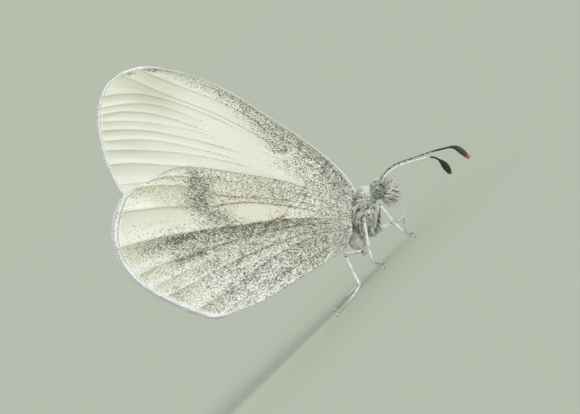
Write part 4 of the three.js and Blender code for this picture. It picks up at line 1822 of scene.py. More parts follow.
@dataclass
class Body:
    """Head, collar, thorax and abdomen under one skin, with their hair."""

    lumps: tuple[tuple[Triple, Triple, float], ...] = (
        ((4.35, 0.0, 4.5), (1.5, 0.86, 1.08), 14.0),
        ((3.3, 0.0, 4.3), (1.0, 0.66, 0.8), 8.0),
        ((5.75, 0.0, 4.95), (0.5, 0.56, 0.66), 20.0),
        ((6.25, 0.0, 4.82), (0.4, 0.3, 0.4), 0.0),
        ((6.76, 0.0, 4.68), (0.5, 0.46, 0.66), -8.0),
        ((7.05, 0.0, 4.45), (0.3, 0.34, 0.46), -8.0),
        ((2.65, 0.34, 3.3), (0.5, 0.28, 1.0), -7.0),
        ((2.65, -0.34, 3.3), (0.5, 0.28, 1.0), -7.0),
        ((4.72, 0.5, 3.55), (1.15, 0.46, 0.62), 43.0),
        ((4.72, -0.5, 3.55), (1.15, 0.46, 0.62), 43.0),
    )
    abdomen: tuple[Pair, ...] = ((2.95, 4.05), (0.2, 4.2), (-3.4, 4.9), (-6.75, 5.88))
    abdomen_half: Pair = (0.5, 0.64)
    rings: int = 8
    ring_depth: float = 0.045
    voxel: float = 0.07
    smoothing: int = 5  # rounds
    seed: int = 5

    def __post_init__(self) -> None:
        """Prepare the abdomen's spine and the random numbers."""
        self.rng = np.random.default_rng(self.seed)
        self.spine = smooth_path([(x, 0.0, z) for x, z in self.abdomen], 160)

    def girth(self, share: Array) -> Array:
        """The abdomen's upright radius at shares of its length."""
        swell = 0.86 + 0.14 * np.sin(np.pi * np.minimum(1, share * 1.6)) - 0.36 * share ** 2
        return self.abdomen_half[1] * swell

    def along_spine(self, points: Array) -> Array:
        """How far along the abdomen each point lies, from 0 at the front to 1 at its end."""
        best = np.argmin(
            np.linalg.norm(points[:, None, ::2] - self.spine[None, :, ::2], axis=2), axis=1)
        return best / (len(self.spine) - 1)

    def add_skin(self, finish: Material) -> None:
        """Fuse the body's shapes into one skin and carve the abdomen's rings.

        Args:
            finish: The skin's material.
        """
        bm = bmesh.new()
        for centre, half, pitch in self.lumps:
            lump(bm, centre, half, pitch)
        sweep(bm, self.spine, self.girth, sides=28, steps=60,
              flatness=self.abdomen_half[0] / self.abdomen_half[1])
        rough = mesh_of(bm, "rough")
        fused = self._fuse(rough)
        bm = bmesh.new()
        bm.from_mesh(fused)
        for _ in range(self.smoothing):
            bmesh.ops.smooth_vert(bm, verts=bm.verts[:], factor=0.5, use_axis_x=True,
                                  use_axis_y=True, use_axis_z=True)
        bm.normal_update()
        points = np.array([vert.co for vert in bm.verts])
        normals = np.array([vert.normal for vert in bm.verts])
        share = self.along_spine(points)
        behind = ease(2.9, 2.2, points[:, 0])
        ring = np.abs(((share * self.rings + 0.5) % 1) - 0.5) / self.rings * 10.6
        depth = -self.ring_depth * bell(ring, 0.07) * behind
        depth += 0.014 * np.sin(points[:, 0] * 7 + points[:, 2] * 5) * np.sin(points[:, 1] * 9)
        points = points + normals * depth[:, None]
        for vert, place in zip(bm.verts, points):
            vert.co = place
        bm.normal_update()
        self.points = points
        self.normals = np.array([vert.normal for vert in bm.verts])
        bmesh.ops.triangulate(bm, faces=bm.faces[:])
        self.corners = np.array([[vert.index for vert in face.verts] for face in bm.faces])
        mesh = mesh_of(bm, "body_skin")
        above = points[:, 2] - np.interp(points[:, 0], self.spine[::-1, 0], self.spine[::-1, 2])
        top = ease(-0.15, 0.45, above) * behind
        paint(mesh, "dust", 0.2 + 0.5 * top + 0.25 * (1 - behind))
        paint(mesh, "bare", 0.75 * (1 - behind) + 0.3 * bell(ring, 0.06) * behind)
        add_piece(mesh, finish, "hair", ["head", "collar", "thorax", "abdomen"])

    def _fuse(self, rough: Mesh) -> Mesh:
        """Remesh overlapping shapes as one closed skin.

        Args:
            rough: The overlapping shapes, which are removed.

        Returns:
            The fused mesh.
        """
        holder = put("rough", rough)
        modifier = holder.modifiers.new("fuse", "REMESH")
        modifier.mode = "VOXEL"
        modifier.voxel_size = self.voxel
        depsgraph = bpy.context.evaluated_depsgraph_get()
        fused = bpy.data.meshes.new_from_object(holder.evaluated_get(depsgraph))
        bpy.data.objects.remove(holder)
        bpy.data.meshes.remove(rough)
        return fused

    @staticmethod
    def unwrap(points: Array) -> Array:
        """Where points of the skin lie on its cylindrical unwrap.

        Args:
            points: The points.

        Returns:
            Points of the bake map.
        """
        turn = np.arctan2(points[:, 1], points[:, 2] - THORAX_CENTRE.z) / (2 * np.pi) + 0.5
        along = (points[:, 0] + TAIL_REACH) / BODY_LENGTH
        return np.stack([INSET + SPREAD * turn, INSET + SPREAD * along], axis=1)

    def grow(self, pelt: Pelt) -> Coat:
        """Grow the hair of one region.

        Args:
            pelt: The region.

        Returns:
            Its coat.
        """
        a, b, c = (self.points[self.corners[:, k]] for k in range(3))
        area = np.linalg.norm(np.cross(b - a, c - a), axis=1)
        chance = area * pelt.within((a + b + c) / 3)
        picked = self.rng.choice(len(area), pelt.count, p=chance / chance.sum())
        share = self.rng.dirichlet((1, 1, 1), pelt.count)
        corners = self.corners[picked]
        roots = (self.points[corners] * share[:, :, None]).sum(axis=1)
        out = unit((self.normals[corners] * share[:, :, None]).sum(axis=1))
        lie = np.tile(np.array(pelt.lie), (pelt.count, 1))
        if pelt.mirrored:
            lie[:, 1] *= np.sign(roots[:, 1])
        lie = unit(lie)
        lie = unit(lie - out * (lie * out).sum(axis=1, keepdims=True) * (1 - pelt.lift))
        lie = lie + out * pelt.lift + swirl(roots, LOCK_PACE) * LOCK_PULL
        lie = unit(lie + self.rng.normal(0, pelt.stray, (pelt.count, 3)))
        length = self.rng.uniform(*pelt.length, pelt.count)
        thick = pelt.width if pelt.kind is Tuft.HAIR else THIN
        # Dark hairs gather in streaks.
        streak = swirl(roots, STREAK_PACE)[:, 1] > STREAK_FROM
        tone = self.rng.uniform(*pelt.tones, pelt.count)
        tone = np.where(streak & (tone < pelt.streaks), 0.0, tone)
        return Coat(
            "coat", pelt.kind, roots - out * 0.02, lie, out, length,
            width=pelt.width * self.rng.uniform(0.75, 1.25, pelt.count), thickness=thick,
            bend=-out * 0.22 * pelt.lift + self.rng.normal(0, 0.08, (pelt.count, 3)),
            unwrap=self.unwrap(roots), tone=tone,
        )

    def add_coat(self, name: str, finish: Material, slot: str,
                 pelts: Sequence[Pelt]) -> None:
        """Add the hair of several regions as one piece."""
        Coat.joined(name, [self.grow(pelt) for pelt in pelts]).add(finish, slot)


HEAD_PELTS = (
    Pelt((6.75, 0.0, 5.2), (0.5, 0.6, 0.3), 420, (0.22, 0.4), (0.1, 0.0, 1.0), 0.6, 0.024, stray=0.3),
    Pelt((7.2, 0.0, 5.0), (0.4, 0.5, 0.4), 360, (0.3, 0.5), (0.8, 0.0, 0.5), 0.7, 0.028, stray=0.3),
    Pelt((7.3, 0.0, 4.5), (0.4, 0.5, 0.5), 420, (0.5, 0.85), (1.0, 0.0, 0.05), 0.6, 0.026, stray=0.2),
    Pelt((6.8, 0.0, 4.0), (0.6, 0.5, 0.3), 260, (0.3, 0.7), (0.6, 0.0, -1.0), 0.6, 0.024),
    Pelt((6.3, 0.25, 4.5), (0.35, 0.5, 0.7), 420, (0.2, 0.32), (-0.2, 0.5, -0.6), 0.4, 0.022,
         tones=(0.4, 1.0)),
    Pelt((7.08, 0.5, 4.75), (0.16, 0.3, 0.45), 60, (0.12, 0.2), (0.6, 0.6, 0.3), 0.7, 0.032,
         tones=BLACK),
    Pelt((6.95, 0.3, 5.1), (0.5, 0.5, 0.35), 160, (0.28, 0.46), (0.5, 0.3, 0.8), 0.75, 0.03,
         stray=0.4, tones=(0.0, 0.5)),
)
COLLAR_PELTS = (
    Pelt((5.8, 0.0, 5.25), (0.55, 0.7, 0.5), 1000, (0.32, 0.52), (-0.1, 0.0, 0.9), 0.75, 0.03,
         streaks=0.12),
    Pelt((5.8, 0.4, 4.8), (0.5, 0.5, 0.5), 1000, (0.3, 0.46), (-0.25, 0.35, -0.2), 0.55, 0.032,
         streaks=0.12),
    Pelt((5.9, 0.2, 4.25), (0.5, 0.5, 0.4), 500, (0.28, 0.42), (0.0, 0.2, -1.0), 0.4, 0.026),
    Pelt((5.1, 0.8, 4.85), (0.45, 0.4, 0.35), 500, (0.3, 0.6), (-0.9, 0.15, 0.1), 0.4, 0.032),
)
THORAX_PELTS = (
    Pelt((4.3, 0.8, 4.1), (1.3, 0.7, 0.8), 1500, (0.4, 0.8), (-0.45, 0.1, -0.9), 0.2, 0.032,
         tones=(0.06, 1.0)),
    Pelt((4.15, 0.8, 4.3), (0.7, 0.6, 1.0), 900, (0.55, 0.95), (-0.9, 0.5, -0.3), 0.45, 0.03,
         tones=(0.06, 1.0)),
    Pelt((4.6, 0.0, 3.4), (1.6, 0.8, 0.35), 500, (0.35, 0.6), (-0.4, 0.0, -0.9), 0.5, 0.026),
    Pelt((4.5, 0.8, 4.8), (1.4, 0.6, 0.5), 900, (0.3, 0.55), (-0.8, 0.1, -0.1), 0.2, 0.028),
    Pelt((4.2, 0.0, 5.5), (1.7, 0.7, 0.4), 900, (0.35, 0.6), (-0.8, 0.0, 0.5), 0.4, 0.024),
    Pelt((2.65, 0.6, 3.3), (0.7, 0.4, 1.1), 1500, (0.35, 0.65), (-0.25, 0.05, -1.0), 0.14, 0.03,
         tones=(0.3, 1.0)),
    Pelt((4.72, 0.9, 3.5), (1.2, 0.5, 1.05), 1700, (0.45, 0.8), (-0.6, -0.05, -0.8), 0.1, 0.034),
    Pelt((5.2, 0.75, 4.42), (0.22, 0.5, 0.25), 80, (0.12, 0.24), (-0.5, 0.3, 0.2), 0.6, 0.045,
         tones=BLACK),
)
ABDOMEN_PELTS = (
    Pelt((-1.9, 0.0, 4.6), (5.6, 0.9, 1.6), 5200, (0.16, 0.26), (-1.0, 0.0, 0.2), 0.08, 0.035,
         Tuft.SCALE, 0.12),
    Pelt((1.9, 0.0, 4.2), (1.3, 0.8, 0.9), 900, (0.3, 0.5), (-1.0, 0.0, 0.1), 0.15, 0.014),
    Pelt((-6.2, 0.0, 5.7), (0.9, 0.6, 0.7), 500, (0.2, 0.36), (-1.0, 0.0, 0.25), 0.3, 0.013),
)


def swirl(points: Array, pace: float) -> Array:
    """A soft field of vectors up to about one long, which gathers hair into locks."""
    x, y, z = (points * pace).T
    return np.stack([
        np.sin(1.7 * y + 2.3 * z + 0.4) * np.cos(0.9 * x + 1.1),
        np.sin(2.1 * z + 1.3 * x + 1.9) * np.cos(1.6 * y + 0.3),
        np.sin(1.9 * x + 1.4 * y + 2.7) * np.cos(1.2 * z + 2.2),
    ], axis=1)


# ------------------------------------------------------------------ face


@dataclass
class Eye:
    """One compound eye."""

    side: Side
    centre: Triple = (6.56, 0.42, 4.62)
    half: Triple = (0.56, 0.42, 0.62)
    pitch: float = 8.0
    # Where the dark spots stand, to the front and below and to the front and above, with
    # their size and how dark they are.
    spots: tuple[tuple[float, float, float, float], ...] = (
        (-0.088, 0.152, 0.1, 1.4), (0.112, 0.096, 0.07, 1.1), (0.19, 0.336, 0.06, 0.9),
        (-0.248, -0.024, 0.068, 1.1), (-0.048, -0.112, 0.066, 1.0), (0.136, -0.2, 0.07, 1.1),
        (-0.152, 0.44, 0.058, 0.8), (0.27, 0.016, 0.058, 0.8),
    )

    def add(self, finish: Material) -> None:
        """Build the eye and mark the spots that its depth shows.

        Args:
            finish: The eye's material.
        """
        x, y, z = self.centre
        name = f"eye_{self.side.word}"
        bm = bmesh.new()
        lump(bm, (x, self.side.value * y, z), self.half, self.pitch, fine=6)
        mesh = mesh_of(bm, f"{name}_dome")
        points = coordinates(mesh)
        across, up = points[:, 0] - x, points[:, 2] - z
        outer = ease(0.05, 0.15, self.side.value * points[:, 1] - y)
        right, top = (across - up) / math.sqrt(2), (across + up) / math.sqrt(2)
        spot = sum(
            dark * np.exp(-(np.hypot(right - ahead, top - above) / size) ** 4)
            for ahead, above, size, dark in self.spots
        )
        rim = 1 - ease(0.02, 0.16, self.side.value * points[:, 1] - 0.44)
        paint(mesh, "spot", np.clip(spot * outer + 0.55 * rim, 0, 1))
        add_piece(mesh, finish, "eye", [name])


@dataclass
class Palp:
    """One labial palp: a short flattened core under a fan of bristles."""

    side: Side
    centre: Triple = (7.12, 0.3, 3.98)
    half: Triple = (0.56, 0.17, 0.44)
    pitch: float = -30.0
    heart: Pair = (6.62, 4.3)  # the fan opens from here, in x and z
    reach: float = 1.56  # how far from its heart the fan's edge lies
    count: int = 360
    seed: int = 31

    def add(self, skin: Material, bristles: Material) -> None:
        """Build the core and its bristles.

        Args:
            skin: The core's material.
            bristles: The bristles' material.
        """
        name = f"palp_{self.side.word}"
        sign = np.array([1, self.side.value, 1])
        bm = bmesh.new()
        lump(bm, tuple(np.array(self.centre) * sign), self.half, self.pitch, fine=4)
        mesh = mesh_of(bm, f"{name}_core")
        paint(mesh, "dust", np.full(len(mesh.vertices), 0.45))
        paint(mesh, "bare", np.full(len(mesh.vertices), 0.5))
        skin_points = coordinates(mesh)
        add_piece(mesh, skin, "hair", [name])
        rng = np.random.default_rng(self.seed + self.side.value)
        roots = skin_points[rng.integers(0, len(skin_points), self.count)]
        out = unit((roots - np.array(self.centre) * sign) / np.array(self.half) ** 2)
        fan = roots - np.array([self.heart[0], 0.0, self.heart[1]])
        fan[:, 1] = 0
        far = np.linalg.norm(fan, axis=1)
        lie = unit(fan) + out * [0.12, 0.16, 0.12] + rng.normal(0, 0.13, (self.count, 3))
        turn = np.arctan2(fan[:, 2], fan[:, 0])
        below = ease(-0.5, -1.1, turn) * (rng.random(self.count) < 0.2)
        wave = 0.12 * np.sin(11 * turn + 1.0) * np.sin(5 * turn)
        ragged = self.reach * (1 + wave + 0.2 * below) - far
        long = np.clip(ragged * rng.uniform(0.3, 1.15, self.count), 0.16, 1.15)
        # Black bristles stand among the pale ones along the upper edge.
        tone = rng.random(self.count)
        tone = np.where((turn > 0.1) & (rng.random(self.count) < 0.36), 0.0, tone)
        coat = Coat(
            f"{name}_bristles", Tuft.HAIR, roots, lie, out, long,
            width=rng.uniform(0.03, 0.05, self.count), thickness=0.024,
            bend=rng.normal(0, 0.05, (self.count, 3)),
            unwrap=np.stack([0.5 + turn / 4, 0.1 + 0.8 * far / self.reach], axis=1), tone=tone,
        )
        coat.add(bristles, "hair")


@dataclass
class Antenna:
    """One antenna: a banded shaft and a flattened club with a bright tip."""

    side: Side
    spine: tuple[Pair, ...]
    reach: float
    root: float = 0.3
    shaft: float = 0.078
    club: float = 0.225
    club_share: float = 0.23
    overlap: float = 0.02  # how far shaft and club run into each other, as a share of the length
    segment: float = 0.21
    samples: int = 400

    def add(self, finish: Material) -> None:
        """Build the shaft and the club.

        Args:
            finish: The antenna's material.
        """
        last = len(self.spine) - 1
        path = smooth_path(
            [(x, self.side.value * (self.root + self.reach * i / last), z)
             for i, (x, z) in enumerate(self.spine)], self.samples)
        length = np.linalg.norm(np.diff(path, axis=0), axis=1).sum()
        split = 1 - self.club_share
        shaft = path[:int(self.samples * (split + self.overlap))]
        club = path[int(self.samples * (split - self.overlap)):]
        word = self.side.word

        def shaft_radius(t: Array) -> Array:
            beat = np.abs((t * length * split / self.segment) % 1 - 0.5) * 2
            ringed = self.shaft * (1 + 0.16 * (1 - beat ** 3)) * (1 - 0.12 * t)
            return ringed + 0.03 * bell(t, 0.025)

        def club_radius(t: Array) -> Array:
            beat = np.abs((t * 10) % 1 - 0.5) * 2
            swell = ease(0.0, 0.55, t) * (1 - 0.6 * ease(0.6, 1.05, t))
            return (self.shaft + (self.club - self.shaft) * swell) * (1 + 0.05 * (1 - beat ** 4))

        bm = bmesh.new()
        sweep(bm, shaft, shaft_radius, sides=14, steps=240)
        mesh = mesh_of(bm, f"antenna_{word}_shaft")
        self._paint(mesh, shaft, 0.0, length * split)
        add_piece(mesh, finish, "antenna", [f"antenna_shaft_{word}"])
        bm = bmesh.new()
        sweep(bm, club, club_radius, sides=22, steps=110, flatness=0.72, blunt=1.3)
        mesh = mesh_of(bm, f"antenna_{word}_club")
        self._paint(mesh, club, 1.0, length * (self.club_share + self.overlap))
        add_piece(mesh, finish, "club", [f"antenna_club_{word}"])

    def _paint(self, mesh: Mesh, path: Array, club: float, length: float) -> None:
        """Mark pale rings and the bright tip.

        Args:
            mesh: The shaft or the club.
            path: Its centre line.
            club: One for the club.
            length: Its length in mm.
        """
        points = coordinates(mesh)
        nearest = np.argmin(np.linalg.norm(points[:, None] - path[None, ::4], axis=2), axis=1)
        share = nearest / (len(path[::4]) - 1)
        off = points - path[::4][nearest]
        under = unit(off) @ unit(np.array([-0.35, 0.0, -0.93]))
        inner = -self.side.value * unit(off)[:, 1]
        beat = (share * length / self.segment) % 1
        rings = ease(0.5, 0.62, beat) - ease(0.86, 0.98, beat)
        fade = 1 - ease(0.72, 0.92, share)
        pale = 0.5 * ease(-0.5, 0.4, under) + 0.5 * ease(-0.1, 0.5, inner) + 0.44 * rings
        streak = bell(share - 0.74, 0.07) * ease(0.2, 0.7, under - 0.3 * inner)
        paint(mesh, "pale", np.where(club, 0.8 * streak, pale * fade))
        paint(mesh, "tip", ease(0.85, 0.92, share) * club)


ANTENNAE = (
    Antenna(Side.RIGHT, ((7.15, 5.1), (8.73, 5.26), (10.71, 4.43), (12.53, 3.52), (13.39, 2.86),
                         (13.59, 1.48)), 2.6),
    Antenna(Side.LEFT, ((7.16, 5.07), (8.93, 4.91), (10.57, 4.1), (11.72, 3.32), (12.04, 2.46),
                        (11.93, 1.15)), 4.0, club=0.27),
)


@dataclass
class Tongue:
    """The coiled proboscis, resting between the palps."""

    centre: Triple = (7.18, 0.0, 3.86)
    outer: float = 0.3
    inner: float = 0.1
    turns: float = 2.6
    radius: float = 0.045

    def add(self, finish: Material) -> None:
        """Build the coil.

        Args:
            finish: Its material.
        """
        turn = np.linspace(0, 2 * np.pi * self.turns, 260)
        reach = np.linspace(self.outer, self.inner, 260)
        x, y, z = self.centre
        path = np.stack([
            x + reach * np.cos(2.4 + turn), np.full(260, y), z + reach * np.sin(2.4 + turn),
        ], axis=1)
        root = np.linspace(np.array([6.85, 0.0, 4.1]), path[0], 14)[:-1]
        bm = bmesh.new()
        sweep(bm, np.vstack([root, path]), lambda t: self.radius * (1 - 0.5 * t), sides=12, steps=220,
              flatness=1.7)
        add_piece(mesh_of(bm, "proboscis_coil"), finish, "horn", ["proboscis"])


# ------------------------------------------------------------------ legs

TARSUS_JOINTS = (0, 0.44, 0.62, 0.76, 0.88, 1.0)  # where its joints end, as shares of its length


@dataclass
class Leg:
    """One leg: coxa, femur, tibia and a five-jointed tarsus with its claws."""

    pair: str
    side: Side
    hip: Triple
    coxa: Triple  # length in mm, pitch and splay in degrees, as the next two
    femur: Triple
    tibia: Triple
    knuckle: Triple  # where the tarsus comes down
    foot: Pair
    seed: int = 0
    folded: bool = False  # whether the femur lies against the coxa, as furry as it
    bulk: float = 1.0  # how thick its femur and tibia are, as a share of the others'
    sole: float = 0.055  # how high the end of its centre line lies

    def __post_init__(self) -> None:
        """Work out where its joints are."""
        self.rng = np.random.default_rng(100 + self.seed)
        self.name = f"{self.pair}leg_{self.side.word}"
        self.joints = [self.mirrored(self.hip)]
        for segment in (self.coxa, self.femur, self.tibia):
            self.joints.append(self.step(self.joints[-1], segment))
        self.tarsus = smooth_path([
            self.joints[-1], self.mirrored(self.knuckle), self.mirrored((*self.foot, self.sole)),
        ], 80)

    def step(self, start: Array, segment: Triple) -> Array:
        """The end of a segment of a length, pitch and splay that starts at a point.

        Args:
            start: The point.
            segment: Its length in mm, and its pitch and splay in degrees.

        Returns:
            The point where it ends.
        """
        length, pitch, splay = segment[0], math.radians(segment[1]), math.radians(segment[2])
        flat = length * math.cos(splay)
        return start + np.array([
            flat * math.cos(pitch), self.side.value * length * math.sin(splay), flat * math.sin(pitch),
        ])

    def mirrored(self, point: Triple) -> Array:
        """A point of the left side on this leg's side."""
        return np.array([point[0], self.side.value * point[1], point[2]])

    def add(self, skin: Material, horn: Material, hair: Material) -> None:
        """Build the leg, its claws and spurs, and its scales and hair.

        Args:
            skin: The leg's material.
            horn: The claws' material.
            hair: The material of its scales and hair.
        """
        hip, hollow, knee, ankle = self.joints
        bm = bmesh.new()
        sweep(bm, np.linspace(hip, hollow, 40), lambda t: 0.26 - 0.13 * t, 16, 24, 0.8)
        sweep(bm, np.linspace(hollow, knee, 40),
              lambda t: self.bulk * (0.12 + 0.05 * np.sin(np.pi * np.minimum(1, t * 1.3)) - 0.03 * t),
              14, 26, 0.8)
        sweep(bm, np.linspace(knee, ankle, 40), lambda t: self.bulk * (0.095 + 0.018 * t), 14, 26, 0.9)
        sweep(bm, self.tarsus, self._tarsus_radius, 12, 90)
        mesh = mesh_of(bm, self.name)
        self._paint(mesh)
        parts = ("coxa", "femur", "tibia", "tarsus")
        nodes = [f"{self.pair}leg_{part}_{self.side.word}" for part in parts]
        add_piece(mesh, skin, "leg", nodes)
        self._add_claws(horn)
        self._add_scales(hair)

    @staticmethod
    def _tarsus_radius(t: Array) -> Array:
        """The tarsus's radius, thicker at the end of each of its five joints."""
        beat = np.interp(t, TARSUS_JOINTS, range(len(TARSUS_JOINTS))) % 1
        return 0.05 + 0.014 * beat ** 3 + 0.016 * (1 - t)

    def _paint(self, mesh: Mesh) -> None:
        """Mark dark spots at the joints and bare brown skin at the foot.

        Args:
            mesh: The leg.
        """
        points = coordinates(mesh)
        coxa, femur = np.array(self.joints[:2]), np.array(self.joints[1:3])
        dust = np.full(len(points), 0.05)
        for joint, reach, strength in zip(self.joints[1:], (0.2, 0.13, 0.16), (0.75, 0.4, 0.5)):
            dust += strength * bell(np.linalg.norm(points - joint, axis=1), reach)
        dust += 0.3 * (distance_to_line(points, coxa) < 0.3)
        if self.folded:
            # A black line runs down the front of the femur.
            dust += 0.3 * (distance_to_line(points, femur) < 0.16)
            dust += 0.9 * bell(distance_to_line(points, femur + np.array([0.09, 0, 0.0])), 0.07)
        centre = self.tarsus[::4]
        near = np.argmin(np.linalg.norm(points[:, None] - centre[None], axis=2), axis=1)
        on_tarsus = distance_to_line(points, self.tarsus[::8]) < 0.11
        paint(mesh, "dust", np.clip(dust, 0, 0.9))
        paint(mesh, "bare", ease(0.15, 0.75, near / (len(centre) - 1)) * on_tarsus * 0.95)

    def _add_claws(self, horn: Material) -> None:
        """Add two claws, the pad between them and the spurs of the tibia.

        Args:
            horn: The material.
        """
        knee, ankle, tip = self.joints[2], self.joints[3], self.tarsus[-1]
        ahead = tip - self.tarsus[-6]
        ahead = unit(np.array([ahead[0], ahead[1], 0.0]) + 1e-9)
        aside = np.array([-ahead[1], ahead[0], 0.0])
        bm = bmesh.new()
        for way in (-1, 1):
            line = smooth_path([
                tip - ahead * 0.02, tip + ahead * 0.09 + aside * way * 0.05 + UP * 0.03,
                tip + ahead * 0.16 + aside * way * 0.075 - UP * 0.045,
            ], 16)
            sweep(bm, line, lambda t: 0.022 * (1 - 0.8 * t), sides=8, steps=10)
        lump(bm, tuple(tip + ahead * 0.03 - UP * 0.028), (0.05, 0.045, 0.024), fine=2)
        for k in range(0 if self.pair == "fore" else 2):
            lean = unit(unit(ankle - knee) + np.array([0.35, (k - 0.5) * 0.7, -0.2]))
            sweep(bm, np.linspace(ankle, ankle + lean * 0.3, 10), lambda t: 0.024 * (1 - 0.85 * t), 8, 8)
        add_piece(mesh_of(bm, f"{self.name}_claws"), horn, "horn")

    def _add_scales(self, finish: Material) -> None:
        """Cover the coxa with hair and the rest of the leg with lying scales.

        Args:
            finish: The material.
        """
        hip, hollow, knee, ankle = self.joints
        coats = []
        thigh = (hollow, knee, (0.14, 0.115), 520, Tuft.BLADE, (0.11, 0.19), 0.05)
        if self.folded:
            thigh = (knee, hollow, (0.13, 0.15), 700, Tuft.HAIR, (0.3, 0.5), 0.12)
        for start, end, radius, count, kind, length, lift in (
            (hip, hollow, (0.24, 0.14), 800, Tuft.HAIR, (0.28, 0.5), 0.12),
            thigh,
            (knee, ankle, (0.092, 0.105), 520, Tuft.BLADE, (0.1, 0.17), 0.04),
        ):
            share, turn = self.rng.random(count), self.rng.uniform(0, 2 * math.pi, count)
            _, aside, upright = (each[1] for each in turned_frames(np.linspace(start, end, 3)))
            out = aside * np.cos(turn)[:, None] + upright * np.sin(turn)[:, None]
            reach = radius[0] + (radius[1] - radius[0]) * share
            reach *= self.bulk if start is not hip else 1.0
            roots = start + (end - start) * share[:, None] + out * (reach * 0.94)[:, None]
            lie = unit(end - start) + out * lift + self.rng.normal(0, 0.1, (count, 3))
            hairy = kind is Tuft.HAIR
            tone = self.rng.random(count) * 0.8 + (0.1 if hairy else 0.2)
            if start is hollow:
                tone = np.where(share < 0.1, 0.0, tone)
            elif not hairy:
                tone = np.where((share < 0.07) & (self.rng.random(count) < 0.6), 0.0, tone)
            elif start is knee:
                # Black hair runs down the front of the folded femur.
                tone = np.where(out @ unit(np.array([0.8, 0.0, -0.5])) > 0.55, 0.0, tone)
            coats.append(Coat(
                self.name, kind, roots, lie, out, self.rng.uniform(*length, count),
                width=0.024 if hairy else 0.026, thickness=0.014 if hairy else THIN,
                bend=-out * 0.05, unwrap=np.stack([0.05 + 0.9 * turn / 6.3, 0.05 + 0.3 * share], axis=1),
                tone=tone,
            ))
        for kind, word in ((Tuft.HAIR, "hair"), (Tuft.BLADE, "scales")):
            part = [coat for coat in coats if coat.kind is kind]
            Coat.joined(f"{self.name}_{word}", part).add(finish, "leg")


LEGS = (
    Leg("fore", Side.RIGHT, (5.47, 0.42, 4.11), (2.08, -132.8, 5.5), (2.39, 33.9, 17.8),
        (1.86, -95.4, 12.4), (5.79, 1.95, 0.95), (6.06, 2.12), 1, folded=True),
    Leg("fore", Side.LEFT, (5.47, 0.42, 4.11), (2.16, -129.1, 5.3), (2.78, -18.8, 13.1),
        (1.54, -124.1, 35.8), (6.02, 2.65, 0.32), (6.22, 3.1), 2, bulk=1.45),
    Leg("mid", Side.RIGHT, (4.11, 0.45, 3.66), (1.13, -126.9, 8.7), (1.62, 53.7, 33.0),
        (2.23, -125.9, 10.3), (2.38, 2.15, 0.98), (2.6, 2.35), 3),
    Leg("mid", Side.LEFT, (4.11, 0.45, 3.66), (1.15, -124.6, 8.5), (1.4, 49.8, 33.8),
        (2.18, -124.7, 11.9), (2.4, 2.15, 0.8), (2.75, 2.4), 4),
    Leg("hind", Side.RIGHT, (2.92, 0.4, 3.72), (1.73, -105.8, 6.7), (1.95, 142.8, 36.1),
        (2.79, -109.1, 11.4), (-0.9, 2.5, 0.22), (-2.65, 2.75), 5),
    Leg("hind", Side.LEFT, (2.92, 0.4, 3.72), (1.77, -105.2, 6.5), (1.87, 149.6, 38.0),
        (2.71, -109.7, 11.7), (-0.9, 2.5, 0.22), (-2.55, 2.75), 6),
)


# ------------------------------------------------------------------ studio


@dataclass
class Studio:
    """The floor, the lights, the world and the camera."""

    look_at: Triple = (0.775, 0.0, 8.69)  # in mm of the body
    distance: float = 300.0  # mm
    elevation: float = 2.5  # degrees
    roll: float = 45.0  # degrees
    lens: float = 232.8
    sensor: float = 36.0
    clip: Pair = (0.01, 100.0)
    floor_radius: float = 30.0  # metres
    backdrop: Colour = srgb(182, 190, 174)

    def add_floor(self, finish: Material) -> None:
        """Lay the floor.

        Args:
            finish: Its material.
        """
        bm = bmesh.new()
        bmesh.ops.create_circle(bm, cap_ends=True, segments=96, radius=self.floor_radius)
        floor = put("floor", bpy.data.meshes.new("floor"))
        bm.to_mesh(floor.data)
        bm.free()
        floor.data.materials.append(finish)

    def add_lights(self) -> None:
        """Hang a soft key light above the wings' leading edge, a fill and a light from behind."""
        for name, toward, strength, angle in (
            ("key", (-0.62, 0.55, -0.56), 1.8, 40.0),
            ("fill", (0.12, 0.96, -0.2), 0.75, 70.0),
            ("back", (0.2, -0.9, -0.45), 1.0, 80.0),
        ):
            sun = bpy.data.lights.new(name, "SUN")
            sun.energy = strength
            sun.angle = math.radians(angle)
            lamp = put(name, sun)
            lamp.rotation_mode = "QUATERNION"
            lamp.rotation_quaternion = Vector(toward).to_track_quat("-Z", "Y")

    def set_world(self) -> None:
        """Light evenly from all round, and show the backdrop's colour to the camera."""
        world = bpy.data.worlds.new("studio")
        world.use_nodes = True
        bench = Bench(world.node_tree)
        light = bench.node("Background", None, Color=srgb(238, 241, 240), Strength=0.62)
        shown = bench.node("Background", None, Color=self.backdrop, Strength=1.0)
        camera = bench.node("LightPath").outputs["Is Camera Ray"]
        mixed = bench.node("MixShader", None, i0=camera, i1=light.outputs[0], i2=shown.outputs[0])
        bench.node("OutputWorld", None, Surface=mixed.outputs[0])
        bpy.context.scene.world = world
        bpy.context.scene.view_settings.view_transform = "Standard"

    def add_camera(self) -> None:
        """Stand the camera at the butterfly's right side, turned with it."""
        tilt = Matrix.Rotation(-math.radians(self.elevation), 3, "X")
        roll = math.radians(self.roll)
        right = tilt @ Vector((math.cos(roll), 0, -math.sin(roll)))
        up = tilt @ Vector((math.sin(roll), 0, math.cos(roll)))
        back = right.cross(up)
        turn = Matrix((right, up, back)).transposed()
        data = bpy.data.cameras.new("camera")
        data.lens, data.sensor_width = self.lens, self.sensor
        data.clip_start, data.clip_end = self.clip
        camera = put("camera", data)
        target = BODY_TO_FRAME @ Vector(self.look_at)
        camera.matrix_world = Matrix.Translation(target + back * self.distance * MM) @ turn.to_4x4()
        bpy.context.scene.camera = camera


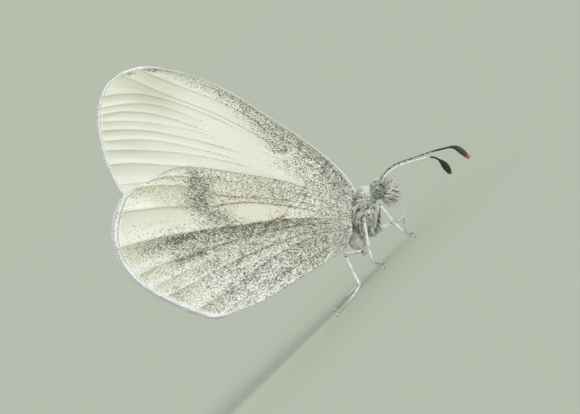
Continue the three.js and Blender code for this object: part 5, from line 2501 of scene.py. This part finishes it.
def main() -> None:
    """Build the butterfly, sub-assembly by sub-assembly, and the studio around it."""
    logging.basicConfig(level=logging.INFO, format="%(name)s: %(message)s")
    groups = Groups()
    studio = Studio()
    studio.add_camera()
    studio.set_world()
    studio.add_lights()
    studio.add_floor(FloorFinish("studio floor", roughness=0.9).material(groups))

    forewing = WingFinish("forewing scales", sheen=0.15).material(groups)
    hindwing = WingFinish("hindwing scales", sheen=0.15, warm=srgb(224, 222, 198)).material(groups)
    dust = CoatFinish("dust scales", pale=srgb(142, 138, 123), middle=srgb(106, 102, 89),
                      dark=srgb(70, 68, 58), dark_share=0.3).material(groups)
    fringe = CoatFinish("fringe scales", sheen=0.1, pale=srgb(255, 255, 255), dark_share=0.0,
                        middle=srgb(250, 250, 248), root_shade=0.05).material(groups)
    fur = CoatFinish("body hair", pale=srgb(253, 253, 247), middle=srgb(228, 228, 218),
                     dark=srgb(36, 34, 29), dark_share=0.16, root_shade=0.15).material(groups)
    ruff = CoatFinish("collar hair", pale=srgb(255, 255, 250), middle=srgb(242, 242, 231),
                      dark_share=0.07, root_shade=0.15).material(groups)
    bristles = CoatFinish("palp bristles", pale=srgb(255, 255, 252), middle=srgb(232, 230, 224),
                          dark=srgb(40, 38, 32), dark_share=0.27, root_shade=0.2).material(groups)
    shins = CoatFinish("leg scales", pale=srgb(250, 250, 247), middle=srgb(234, 234, 229),
                       dark_share=0.03).material(groups)
    skin = SkinFinish("body skin").material(groups)
    leg_skin = SkinFinish("leg skin", pale=srgb(246, 246, 242), under=srgb(112, 82, 66),
                          roughness=0.6).material(groups)
    horn = HornFinish("horn").material(groups)
    antenna = BandedFinish("antenna", roughness=0.5).material(groups)
    eye = EyeFinish("eye", coat=0.2).material(groups)

    for side in Side:
        for plan, finish in ((FOREWING, forewing), (HINDWING, hindwing)):
            wing = Wing(plan, side)
            wing.add_membrane(finish)
            wing.add_dust(dust)
            wing.add_fringe(fringe)
            wing.add_root_hair(fur)

    body = Body()
    body.add_skin(skin)
    body.add_coat("head_hair", fur, "hair", HEAD_PELTS)
    body.add_coat("collar_hair", ruff, "hair", COLLAR_PELTS)
    body.add_coat("thorax_hair", fur, "hair", THORAX_PELTS)
    body.add_coat("abdomen_scales", fur, "abdomen", ABDOMEN_PELTS[:1])
    body.add_coat("abdomen_hair", fur, "abdomen", ABDOMEN_PELTS[1:])

    for side in Side:
        Eye(side).add(eye)
        Palp(side).add(skin, bristles)
    for each in ANTENNAE:
        each.add(antenna)
    Tongue().add(horn)

    for leg in LEGS:
        leg.add(leg_skin, horn, shins)


if __name__ == "__main__":
    main()
